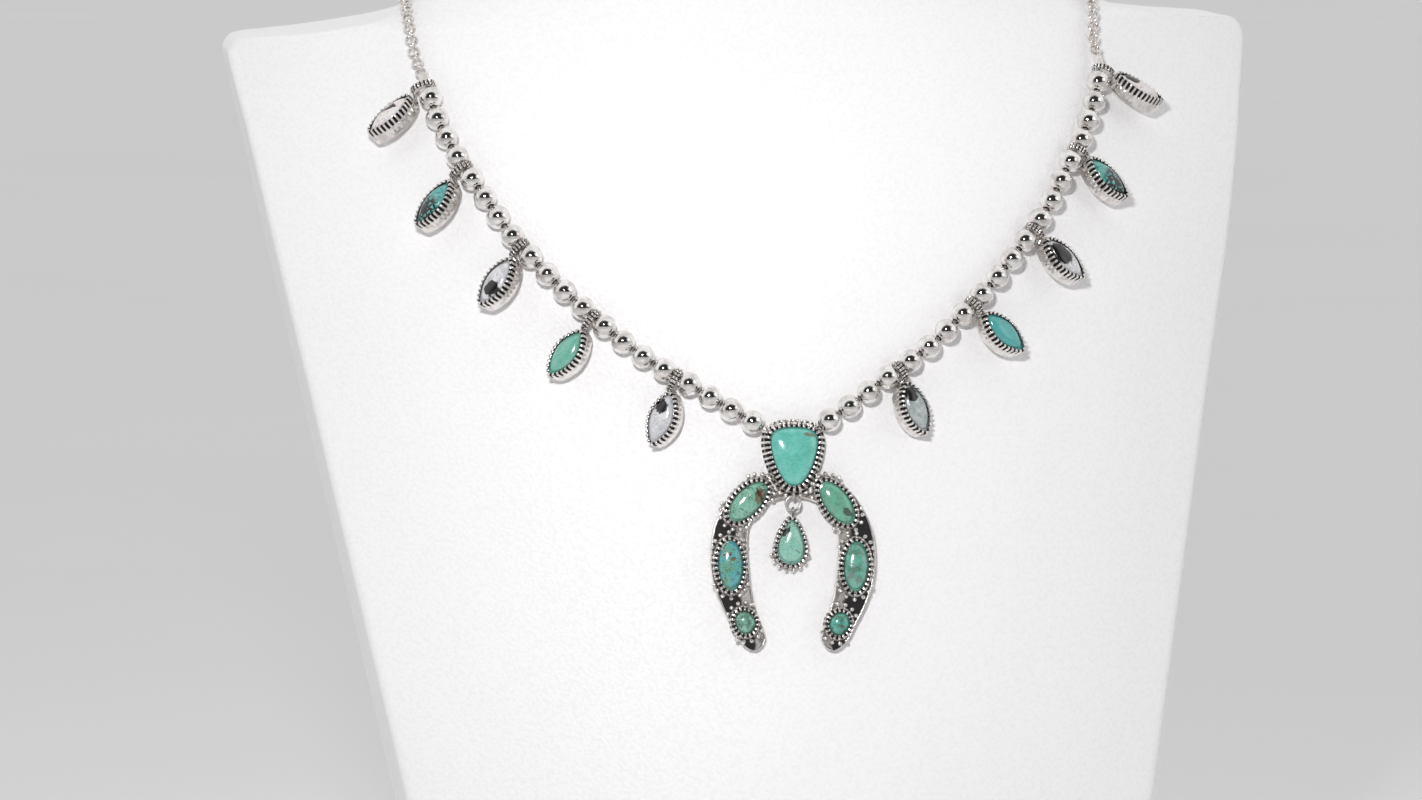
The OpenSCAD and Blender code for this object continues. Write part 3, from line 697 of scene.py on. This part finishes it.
drops = {f"{side}_{k}": Drop(side, k) for side in SIDES for k in range(1, 6)}
first = drops["left_1"]
measures = first.length, first.width, first.low, first.high, first.reach
print("first drop's length, width, cup from, to, reach:", np.round(measures, 2))

# %% Bails
BAIL_UP, BAIL_DOWN, BAIL_OUT, BAIL_WIDTH = 1.85, 3.6, 2.15, 1.3
BAIL_RIBS, RIB_POINTS = 18, 10
BAIL_SINK, BAIL_DEEP = 0.34, 0.288
STEM, STEM_DARK = 0.52, np.array([0.6, 0.3, 0, 0, 0, 0, 0.3, 0.6])


def bail_shell(drop):
    """A loop of ribbed band about the thread. Round the loop the band swells and sinks once for
    every rib, and across the band two lobes lie side by side with a dark furrow between."""
    low = min(BAIL_DOWN, drop.reach - drop.length / 2 - CUP_WALL + 0.1)
    half = (low + BAIL_UP) / 2
    u = circle(BAIL_RIBS * RIB_POINTS)[:, None]
    v = circle(20)
    rib = 0.5 + 0.5 * np.cos(BAIL_RIBS * u)
    across = BAIL_WIDTH / 2 * np.sign(np.cos(v)) * abs(np.cos(v)) ** 0.7
    lobes = abs(np.sin(2 * np.pi * np.clip(across / BAIL_WIDTH + 0.5, 0, 1))) ** 0.6
    face = np.sin(v)
    lift = np.clip(face, 0, 1) ** 0.5 * (0.1 + 0.12 * lobes + 0.3 * rib * lobes)
    offset = np.where(face > 0, lift, BAIL_DEEP * face) - BAIL_SINK
    y, z = (half + offset) * np.cos(u), (BAIL_OUT + offset) * np.sin(u)
    points = np.stack([across + 0 * y, y, z], -1)
    furrow = np.clip(1.6 * (1 - rib) - 0.75 + 0.4 * (1 - lobes), 0, 1)
    shell = grid(points, np.where(face > 0.05, furrow, 0.1), closed=True)
    out = off_bust(drop.thread)
    out = unit(out - drop.way * (out @ drop.way))
    down = np.cross(out, drop.way)
    down = down * np.sign((drop.origin - drop.thread) @ down)
    loop = shell.moved([drop.way, down, out], drop.thread + down * (low - BAIL_UP) / 2)
    foot = drop.thread + down * (low - 0.33)
    tip = drop.origin + drop.axes[1] * (drop.length + CUP_WALL) / 2 + drop.axes[2] * drop.low / 2
    path = foot + (tip - foot) * np.linspace(0, 1, len(STEM_DARK))[:, None]
    return joined([loop, tube(path, STEM, 14, STEM_DARK)])


# %% Settings of the drops
DROP_TEETH = 26
for drop in drops.values():
    foot = drop.low + 0.5 * (drop.high - drop.low)
    cup = bezel(drop.outline, drop.low, foot, drop.high, 0.0, DROP_TEETH)
    parts = [cup.moved(drop.axes, drop.origin), bail_shell(drop)]
    node = f"drop_setting_{drop.name}"
    piece(f"silver_{node}", joined(parts), silver, [node])

# %% Stones of the drops
GREEN, BLUE, DEEP = rgb(98, 178, 156), rgb(76, 172, 168), rgb(56, 138, 132)
WHITE, GREY = rgb(232, 230, 232), rgb(190, 192, 196)
PINK, SMOKE = rgb(228, 216, 212), rgb(140, 142, 146)
drop_looks = {
    "left_1": (GREY, WHITE, SMOKE, dict(veins=0.5, patches=[(-0.6, 2.4, 1.5, 1.5, 20, BLACK)])),
    "left_2": (GREEN, rgb(134, 180, 166), DEEP, dict(veins=0.25, mottle=0.9)),
    "left_3": (WHITE, GREY, SMOKE, dict(veins=0.5, patches=[(0.7, -1.5, 1.5, 1.7, -10, BLACK)])),
    "left_4": (rgb(122, 170, 160), BLUE, rgb(24, 42, 48), dict(veins=0.8, web=(0.2, -1.8, 3.0))),
    "left_5": (WHITE, PINK, SMOKE, dict(veins=0.6, patches=[
        (-0.5, 0.2, 0.5, 2.6, -32, BLACK), (0.2, 1.5, 0.9, 0.6, 10, BLACK)])),
    "right_1": (GREY, rgb(150, 166, 162), SMOKE, dict(veins=0.8, patches=[
        (-0.2, 3.0, 1.5, 1.6, 0, BLACK)])),
    "right_2": (BLUE, rgb(86, 160, 158), DEEP, dict(veins=0.05, mottle=0.8)),
    "right_3": (WHITE, GREY, BROWN, dict(veins=0.5, patches=[(-0.6, 1.6, 2.1, 2.8, 16, BLACK)])),
    "right_4": (rgb(116, 174, 160), BLUE, rgb(22, 36, 38), dict(veins=0.6, web=(0.0, -2.0, 3.7))),
    "right_5": (WHITE, PINK, SMOKE, dict(veins=0.5, patches=[(0.4, 2.4, 1.7, 1.9, 0, BLACK)])),
}
for seed, (name, (*colours, extra)) in enumerate(drop_looks.items()):
    drop = drops[name]
    stone = cabochon(drop.outline, 0, drop.top - DOME_HIGH, drop.top)
    look = stone_finish(f"stone_{name}", *colours, seed=3.1 * seed + 1, **extra)
    node = f"drop_stone_{name}"
    piece(f"polished_{node}", stone.moved(drop.axes, drop.origin), look, [node])

# %% [markdown]
# ## The naja
# The horseshoe is sawn from sheet, a wire is soldered along both edges, and seven bezels and
# rows of grains stand on the dark ground between. Its frame is found from its six oval stones:
# their places on the plate are known, so the turn that best carries these to the solids' middles
# is the pendant's own.

# %% Frame of the naja
PLATE, RIM_HIGH, RIM_WIDE, OVAL_SEAT = 1.3, 0.35, 0.55, 1.36
TOP_Y, PEAR_Y, PEAR_TURN, EYE_Y = 21.8, 3.7, 2.5, 13.4
EYE_HIGH = PLATE + RIM_HIGH + 0.38
ovals = {
    # across, along, turn, length, width, teeth
    "upper_stone_left": (-9.5, 12, 46, 10.8, 5.7, 26),
    "middle_stone_left": (-13.1, -1.1, 92, 10.9, 5.6, 26),
    "lower_stone_left": (-10.1, -12.8, 110, 5.4, 4.6, 18),
    "upper_stone_right": (9, 11.8, 126, 10.8, 5.7, 26),
    "middle_stone_right": (12.9, -1.3, 88, 10.9, 5.6, 26),
    "lower_stone_right": (9.4, -13.1, 70, 5.4, 4.6, 18),
}
solid_at = np.array([corners(name)[0].mean(axis=0) for name in ovals])
drawn_at = np.array([(*row[:2], 0) for row in ovals.values()], float)
u, _, vt = np.linalg.svd((drawn_at - drawn_at.mean(axis=0)).T @ (solid_at - solid_at.mean(axis=0)))
flip = np.diag([1, 1, np.sign(np.linalg.det(u @ vt))])
naja_axes = u @ flip @ vt
naja_origin = solid_at.mean(axis=0) - drawn_at.mean(axis=0) @ naja_axes
heights = (corners("upper_stone_left")[0] - naja_origin) @ naja_axes[2]
naja_origin = naja_origin + naja_axes[2] * (heights.min() - OVAL_SEAT)
OVAL_TOP = OVAL_SEAT + np.ptp(heights)
print("naja at", naja_origin.round(1), "faces", naja_axes[2].round(2), "misfit",
      np.abs(drawn_at @ naja_axes + naja_origin - solid_at).max().round(1))


def plate_axes(degrees):
    """Axes on the plate, turned anticlockwise."""
    a = math.radians(degrees)
    return np.array([[math.cos(a), math.sin(a), 0], [-math.sin(a), math.cos(a), 0], [0, 0, 1]])


# %% Plate of the naja
HORSESHOE = [
    (0, 18.6), (6.4, 17.6), (12, 14.2), (16, 8), (17.1, 1.5), (16.7, -4), (15.1, -9), (13, -13.2),
    (11.5, -16.2), (9.4, -18.3), (7.2, -18.3), (5.8, -16.4), (6.2, -14), (7.5, -10.5), (8.6, -6),
    (9.1, -1.5), (9.4, 3), (9, 7), (6.8, 10.6), (3.6, 12.4), (0, 12.9),
]
HORSESHOE_TIP = 9.5
ARCH_LOW, ARCH_HALF, ARCH_FADE = 10.5, 6, 2


def plate_shell():
    """The horseshoe as a band between its outer and its inner edge. Both edges are one closed
    curve, walked from the top to the tip from either end. Across the band the profile climbs the
    rounded edge, crosses the rim wire, drops to the ground, and comes down the same way. The
    arch over the pear drop is worn bright."""
    last = len(HORSESHOE) - 1
    walk = np.sin(np.linspace(0, 0.5 * np.pi, 150)[:-1])
    outer = through(HORSESHOE, walk * HORSESHOE_TIP / (2 * last))
    inner = through(HORSESHOE, (last - walk * (last - HORSESHOE_TIP)) / (2 * last))
    outer, inner = (np.vstack([edge[:0:-1] * [-1, 1], edge]) for edge in (outer, inner))
    top = PLATE + RIM_HIGH
    away = np.array([0.1, 0, 0, 0.05, 0.16, 0.3, 0.42, 0.5, RIM_WIDE, 0.62])
    height = np.array([
        0, 0.1, top - 0.3, top - 0.1, top - 0.01, top, top - 0.07, top - 0.2, PLATE, PLATE])
    width = np.linalg.norm(outer - inner, axis=1)[:, None]
    fit = np.minimum(1, width / 2 / away[-1])
    near = away * fit / width
    ground = np.linspace(near[:, -1], 1 - near[:, -1], 5)[1:-1].T
    under = np.tile([0.75, 0.5, 0.25], (len(near), 1))
    share = np.hstack([near, ground, 1 - near[:, ::-1], under])
    level = np.concatenate([height, [PLATE] * 3, height[::-1], [0] * 3])
    points = np.empty((*share.shape, 3))
    points[..., :2] = outer[:, None] + (inner - outer)[:, None] * share[..., None]
    points[..., 2] = level
    dark = np.concatenate([
        [0] * 7, [0.4, 0.9, 0.9], [0.85, 0.7, 0.42], [0.3, 0.4, 0.3], [0] * 7, [0.1] * 3])
    above = np.clip((points[..., 1] - ARCH_LOW) / ARCH_FADE, 0, 1)
    arch = above * np.clip((ARCH_HALF - abs(points[..., 0])) / ARCH_FADE, 0, 1)
    return grid(points, dark * (1 - 0.8 * arch))


# %% Bezels and grains of the naja
TRILLION = [
    (0, 5.8), (2.9, 5.5), (4.75, 4.3), (5.15, 1.9), (4.4, -1.6), (3.15, -4.4), (1.7, -6.3),
    (0, -6.9),
]
TOOTH_HIGH = 0.7
OUTLINE_STEPS = 360


def grains_along(curve, away, start, end, count, height, radius=0.42):
    """Grains at equal steps along part of an outline, from share start to share end."""
    p = evenly(curve, OUTLINE_STEPS)
    p = p + away * outward(p)
    at = np.round(np.linspace(start, end, count) * OUTLINE_STEPS).astype(int) % OUTLINE_STEPS
    return [grain(radius).shifted(*p[k], height) for k in at]


def oval_frame(row):
    """Axes and origin of an oval stone on the plate."""
    return plate_axes(row[2] - 90), np.array([row[0], row[1], 0.0])


def standing_eye(radius, wire, y):
    """A wire eye on the middle line, square to the plate and dull in its hole."""
    ring = wire_ring(radius, wire).tarnished(0.45)
    return ring.moved([[0, 0, -1], [0, 1, 0], [1, 0, 0]], (0, y, EYE_HIGH))


OVAL_GIRDLE = OVAL_TOP - DOME_HIGH
GRAINS_SPAN = 0.12
metal = [plate_shell()]
for row in ovals.values():
    outline = partial(ellipse, *row[3:5])
    teeth = row[5]
    set_in = [bezel(outline, PLATE - 0.2, PLATE + 0.1, OVAL_GIRDLE + TOOTH_HIGH, OVAL_SEAT, teeth,
                    flare=0.42, spike=0.35)]
    count = 7 if teeth > 20 else 5
    for tip in (0, 0.5):
        ends = tip - GRAINS_SPAN, tip + GRAINS_SPAN
        set_in += grains_along(outline, 1.4, *ends, count, PLATE + 0.3, 0.5)
    metal += [s.moved(*oval_frame(row)) for s in set_in]

top_stone = (corners("top_stone")[0] - naja_origin) @ naja_axes.T
TOP_BASE, TOP_TOP = top_stone[:, 2].min(), top_stone[:, 2].max()
trillion = partial(through, TRILLION)
TOP_TEETH = 36
TOP_DOME = 1.5 * math.sin(math.radians(76))
TOP_GIRDLE = TOP_TOP - SHOULDER - TOP_DOME
crown = [bezel(trillion, TOP_BASE - 0.1, TOP_BASE + 0.05, TOP_GIRDLE + TOOTH_HIGH, TOP_BASE,
               TOP_TEETH, cut=0.45, flare=0.95, spike=0.6)]
shelf_rows = [
    # distance, height, tarnish
    (0.6, 0.0, 0.4), (0.85, 0.06, 0.3), (0.9, 0.3, 0.3), (0.9, TOP_BASE - 0.15, 0.5),
    (0.8, TOP_BASE, 0.9), (0.4, TOP_BASE + 0.02, 1),
]
shelf = evenly(trillion, 8 * TOP_TEETH)
shelf_out = outward(shelf)
shelf_points = [
    np.column_stack([shelf + away * shelf_out, np.full(len(shelf), height)])
    for away, height, _ in shelf_rows
]
crown.append(grid(np.array(shelf_points), np.array(shelf_rows)[:, 2:]))
crown_grains = [
    # distance, start, end, count, height, radius
    (1.15, -0.125, 0.125, 13, TOP_BASE + 1.15, 0.42),
    (0.5, -0.115, 0.115, 12, TOP_BASE + 1.75, 0.38),
    (1.9, 0.365, 0.475, 6, PLATE + 0.35, 0.48),
    (1.9, 0.525, 0.635, 6, PLATE + 0.35, 0.48),
    (1.75, 0.475, 0.525, 3, PLATE + 0.35, 0.46),
]
for row in crown_grains:
    crown += grains_along(trillion, *row)
metal += [s.shifted(0, TOP_Y, 0) for s in crown]
for x, y in ((1.5, 13.4), (2.5, 13.9), (3.5, 14.6)):
    metal += [grain(0.46).shifted(side * x, y, PLATE + 0.3) for side in (-1, 1)]
EYE_R, EYE_WIRE = 0.85, 0.28
metal.append(standing_eye(EYE_R, EYE_WIRE, EYE_Y))
naja_parts = [joined(metal).moved(naja_axes, naja_origin)]
SOCKET_LONG, SOCKET_WIDE, SOCKET_GAP = 1.6, 0.8, 0.12
for side in SIDES:
    row = middles[side]
    way = unit(row[0] - row[1])
    start = row[0] + way * (bead_radius + SOCKET_GAP)
    path = start + way * np.linspace(0, SOCKET_LONG, 6)[:, None]
    naja_parts.append(tube(path, SOCKET_WIDE * np.array([0.88, 1, 1, 1, 1, 1]), 24, 0.1))
piece("silver_naja", joined(naja_parts), silver, ["naja"], 40)

# %% Stones of the naja
MIST, SAGE, SKY = rgb(138, 192, 172), rgb(110, 164, 142), rgb(82, 172, 178)
MOSS, OCHRE = rgb(84, 128, 110), rgb(108, 104, 80)
naja_looks = {
    "upper_stone_left": (MIST, SAGE, BROWN, dict(veins=0.7, patches=[
        (1.0, 2.5, 1.0, 1.6, 30, OCHRE), (1.0, 2.6, 0.3, 1.9, 65, BROWN),
        (0.5, 3.4, 0.25, 1.2, -10, BROWN)])),
    "middle_stone_left": (SKY, SAGE, BROWN, dict(veins=0.8, mottle=0.35, patches=[
        (-0.5, 2.2, 0.9, 0.5, 10, BROWN), (0.5, 1.3, 0.8, 0.4, 30, OCHRE)])),
    "lower_stone_left": (MIST, MOSS, BROWN, dict(veins=0.9, mottle=0.3)),
    "upper_stone_right": (rgb(104, 178, 150), SAGE, MOSS, dict(veins=0.9, mottle=0.3, patches=[
        (0.6, -3.0, 0.5, 1.3, 20, rgb(70, 92, 84))])),
    "middle_stone_right": (rgb(104, 176, 156), MOSS, SMOKE, dict(veins=0.9, mottle=0.3)),
    "lower_stone_right": (rgb(86, 176, 160), MOSS, BROWN, dict(veins=0.8, mottle=0.3)),
}
for seed, (name, (*colours, extra)) in enumerate(naja_looks.items()):
    row = ovals[name]
    outline = partial(ellipse, *row[3:5])
    stone = cabochon(outline, OVAL_SEAT, OVAL_GIRDLE, OVAL_TOP).moved(*oval_frame(row))
    look = stone_finish(f"stone_{name}", *colours, seed=5.3 * seed + 2, **extra)
    piece(f"polished_{name}", stone.moved(naja_axes, naja_origin), look, [name])

stone = cabochon(trillion, TOP_BASE, TOP_GIRDLE, TOP_TOP, columns=128).shifted(0, TOP_Y, 0)
look = stone_finish("stone_top", rgb(118, 200, 186), rgb(96, 182, 168), MOSS, veins=0.3,
                    mottle=0.7, seed=9.0, patches=[(3.2, 4.0, 1.4, 0.5, -12, rgb(112, 128, 110))])
piece("polished_top_stone", stone.moved(naja_axes, naja_origin), look, ["top_stone"])

# %% [markdown]
# ## The pear drop
# A small pear hangs in the open horseshoe on a jump ring, which passes through the eye of the
# naja and the eye of the pear's cup.

# %% Pear drop and jump ring
eye_at = np.array([0, EYE_Y, 0])
pear_axes = plate_axes(-PEAR_TURN)
pear_origin = eye_at - eye_at @ pear_axes
pear_cad = (corners("pear_stone")[0] - naja_origin) @ naja_axes.T
PEAR_BASE, PEAR_TOP = pear_cad[:, 2].min(), pear_cad[:, 2].max()
PEAR_LONG, PEAR_WIDE, PEAR_WALL = 9.6, 6.0, 0.7
pear_outline = partial(pear, PEAR_LONG, PEAR_WIDE)


def in_pear(shell):
    """A shell of the pear drop's frame, carried to its place."""
    return shell.moved(pear_axes, pear_origin).moved(naja_axes, naja_origin)


RING_R, RING_WIRE, PEAR_EYE_R, PEAR_EYE_WIRE = 1.5, 0.28, 0.7, 0.25
PLAY = 0.06
RING_Y = EYE_Y - EYE_R + EYE_WIRE + RING_WIRE + PLAY - RING_R
PEAR_EYE_Y = RING_Y - RING_R + RING_WIRE + PLAY - PEAR_EYE_R + PEAR_EYE_WIRE
PEAR_TEETH, PEAR_FOOT = 26, 0.75
pear_girdle = PEAR_TOP - DOME_HIGH
cup = [bezel(pear_outline, 0.1, PEAR_FOOT, pear_girdle + TOOTH_HIGH, PEAR_BASE, PEAR_TEETH,
             PEAR_WALL, cut=0.42, spike=0.3)]
cup += grains_along(pear_outline, PEAR_WALL + 0.35, 0.34, 0.66, 8, PEAR_FOOT)
parts = [s.shifted(0, PEAR_Y, 0) for s in cup]
parts.append(standing_eye(PEAR_EYE_R, PEAR_EYE_WIRE, PEAR_EYE_Y))
piece("silver_pear_setting", in_pear(joined(parts)), silver, ["pear_setting"])
stone = cabochon(pear_outline, PEAR_BASE, pear_girdle, PEAR_TOP).shifted(0, PEAR_Y, 0)
look = stone_finish("stone_pear", rgb(146, 200, 186), MIST, BROWN, veins=0.6, mottle=0.4, seed=4.0,
                    patches=[(-1.2, 2.2, 0.4, 1.3, -35, rgb(40, 46, 44))])
piece("polished_pear_stone", in_pear(stone), look, ["pear_stone"])
ring = wire_ring(RING_R, RING_WIRE, 40, 14).tarnished(0.4).shifted(0, RING_Y, EYE_HIGH)
piece("silver_jump_ring", in_pear(ring), silver, ["jump_ring"])

# %% [markdown]
# ## Thread and chain
# The thread runs through every bead. Past the last drop it ends in a cap with an eye, and round
# wire links carry the strand over the shoulders to the clasp behind the neck. A link's corners
# spread least along the axis of its ring.

# %% Chain and thread
LINK, LINK_WIRE = 1.1, 0.28
for side in SIDES:
    shells = []
    for link in links[side]:
        _, across, axis = spread_axes(link)
        axes = np.array([np.cross(across, axis), across, axis])
        shells.append(wire_ring(LINK, LINK_WIRE, 26).moved(axes, middle_of(link)))
    piece(f"silver_chain_{side}", joined(shells), silver, [f"chain_{side}"])

for name in ("clasp", "chain_end_left", "chain_end_right", "thread_left", "thread_right"):
    looks = nodes[name].data.materials
    looks.clear()
    looks.append(thread_grey if name.startswith("thread") else silver)

# %% [markdown]
# ## The bust
# A display bust is a shaped board with padding, covered tightly. The solid has flat facets, so
# its rings of corners are read back and a smooth surface is laid through them, first round each
# ring and then up the bust. Its base and the top of the neck get soft edges.

# %% Bust
def smooth_rows(points, steps):
    """Points between the rows of an array, on cubics through them. The slope at a point is that
    of the line between its neighbours, so the longer side rules it and flat walls stay flat."""
    step = np.diff(points, axis=0)
    h = np.linalg.norm(step, axis=-1, keepdims=True) + 1e-6
    inner = (points[2:] - points[:-2]) / (h[:-1] + h[1:])
    slope = np.concatenate([step[:1] / h[:1], inner, step[-1:] / h[-1:]])
    t = np.linspace(0, 1, steps, endpoint=False).reshape(-1, *[1] * points.ndim)
    a, b, m, n = points[:-1], points[1:], slope[:-1] * h, slope[1:] * h
    ends = (2 * t**3 - 3 * t**2 + 1) * a + (3 * t**2 - 2 * t**3) * b
    curve = ends + (t**3 - 2 * t**2 + t) * m + (t**3 - t**2) * n
    curve = np.moveaxis(curve, 0, 1).reshape(-1, *points.shape[1:])
    return np.concatenate([curve, points[-1:]])


levels = np.unique(bust_points[:, 2].round(2))
rings = []
for level in levels:
    ring = bust_points[abs(bust_points[:, 2] - level) < 0.02]
    angle = np.arctan2(ring[:, 0], middle_of(ring)[1] - ring[:, 1])
    rings.append(ring[np.argsort((angle + 1e-4) % (2 * np.pi))])
print("bust rings:", len(rings), "of", {len(r) for r in rings}, "corners")
rings = np.array(rings)
count = rings.shape[1]
LAP, STEPS_ROUND, STEPS_UP = 3, 5, 4
wrapped = np.concatenate([rings[:, -LAP:], rings, rings[:, :LAP + 1]], axis=1).transpose(1, 0, 2)
round_it = smooth_rows(wrapped, STEPS_ROUND)[LAP * STEPS_ROUND:(LAP + count) * STEPS_ROUND]
skin = smooth_rows(round_it.transpose(1, 0, 2), STEPS_UP)
SOFT_EDGE, EDGE_CLEAR = 2.5, 3.5


def soft_end(ring, level, way):
    """Rows that round an end: each leans in a quarter circle from the wall to the flat."""
    flat = ring[:, :2]
    inward = outward(flat)
    inward = inward * np.sign(((flat.mean(axis=0) - flat) * inward).sum())
    a = np.linspace(0, 0.5 * np.pi, 7)[:, None, None]
    rows = flat + SOFT_EDGE * (1 - np.cos(a)) * inward
    height = level - way * SOFT_EDGE * (1 - np.sin(a))
    return np.concatenate([rows, height + 0 * rows[..., :1]], axis=-1)


body = skin[(skin[:, 0, 2] > EDGE_CLEAR) & (skin[:, 0, 2] < levels[-1] - EDGE_CLEAR)]
skin = np.concatenate([soft_end(skin[0], 0.0, -1)[::-1], body, soft_end(skin[-1], levels[-1], 1)])
piece("covered_bust", grid(skin), leatherette, ["bust"], 60)

# %% [markdown]
# ## Floor, light and camera
# The floor is plain and pale. Shadows are nearly hidden behind the left strand and fall to the
# right of the right one, so a small lamp stands near, just left of the camera and over it. A
# broad one fills from the right. Silver shows what is round it, so the space behind the camera
# is dim, which gives the beads their dark hearts.

# %% Floor
FLOOR = 14.0
span = np.linspace(-1, 1, 41)
floor_mesh = bpy.data.meshes.new("floor")
x, y = np.meshgrid(FLOOR * span**3, FLOOR * span**3)
index = np.arange(x.size).reshape(x.shape)
edges = index[:-1, :-1], index[:-1, 1:], index[1:, 1:], index[1:, :-1]
quads = np.stack(edges, -1).reshape(-1, 4)
floor_mesh.from_pydata(np.stack([x, y, 0 * x], -1).reshape(-1, 3).tolist(), [], quads.tolist())
floor_look = Finish("pale_floor", Roughness=0.6)
grey = floor_look.noise(floor_look.objects_place(), 3.0, 3.0)
floor_look.feed(Base_Color=floor_look.mix(grey, rgb(222, 221, 222), rgb(228, 227, 227)))
floor_mesh.materials.append(floor_look.material)
floor = in_scene("floor", floor_mesh)


# %% Lamps
def placed(x, y, z, origin):
    """The matrix of a frame with these axes at this origin."""
    rows = np.vstack([np.column_stack([x, y, z, origin]), [0, 0, 0, 1]])
    return Matrix(rows.tolist())


def lamp(name, place, aim, size, power):
    """A soft square lamp at a place in metres, aimed at a point."""
    light = bpy.data.lights.new(name, "AREA")
    light.shape = "SQUARE"
    light.size = size
    light.energy = power
    item = in_scene(name, light)
    back = unit(np.subtract(place, aim))
    x_axis = unit(np.cross([0, 0, 1], back))
    item.matrix_world = placed(x_axis, np.cross(back, x_axis), back, place)
    return item


AIM = (0.0, 0.0, 0.16)
key = lamp("key", (-0.14, -0.62, 0.37), AIM, 0.05, 0.72)
key.data.spread = math.radians(100)
lamp("fill", (1.5, -1.2, 0.8), AIM, 0.9, 2.6)

# by the direction's Y, the room's brightness goes from dim behind the camera to bright
ROOM = {"From Min": -0.62, "From Max": -0.36, "To Min": 0.03, "To Max": 0.9}

world = bpy.data.worlds.new("studio")
world.use_nodes = True
bpy.context.scene.world = world
tree = world.node_tree
way = tree.nodes.new("ShaderNodeTexCoord").outputs["Generated"]
parts = tree.nodes.new("ShaderNodeSeparateXYZ")
tree.links.new(way, parts.inputs[0])
ramp = tree.nodes.new("ShaderNodeMapRange")
ramp.interpolation_type = "SMOOTHSTEP"
for socket, value in ROOM.items():
    ramp.inputs[socket].default_value = value
tree.links.new(parts.outputs["Y"], ramp.inputs["Value"])
sky = tree.nodes["Background"]
sky.inputs["Color"].default_value = (1.0, 1.0, 1.0, 1.0)
tree.links.new(ramp.outputs["Result"], sky.inputs["Strength"])

# %% Camera
CAMERA = np.array([-157.38, -1327.12, 273.65]) * MM
AZIMUTH, ELEVATION, ROLL = (math.radians(v) for v in (-6.324, 6.0, -0.983))
PHOTO_WIDTH, FOCAL_PIXELS, SENSOR = 1422, 6310.7, 36.0
level_back = np.array([math.sin(AZIMUTH), -math.cos(AZIMUTH), 0.0])
back = math.cos(ELEVATION) * level_back + math.sin(ELEVATION) * np.array([0.0, 0.0, 1.0])
right = np.array([math.cos(AZIMUTH), math.sin(AZIMUTH), 0.0])
up = np.cross(back, right)
rolled_right = math.cos(ROLL) * right + math.sin(ROLL) * up
rolled_up = math.cos(ROLL) * up - math.sin(ROLL) * right
camera_data = bpy.data.cameras.new("camera")
camera_data.sensor_width = SENSOR
camera_data.lens = FOCAL_PIXELS / PHOTO_WIDTH * SENSOR
camera_data.clip_end = 100
camera = in_scene("camera", camera_data)
camera.matrix_world = placed(rolled_right, rolled_up, back, CAMERA)
bpy.context.scene.camera = camera
bpy.context.scene.view_settings.view_transform = "Standard"

# %% Update the scene
bpy.context.view_layer.update()
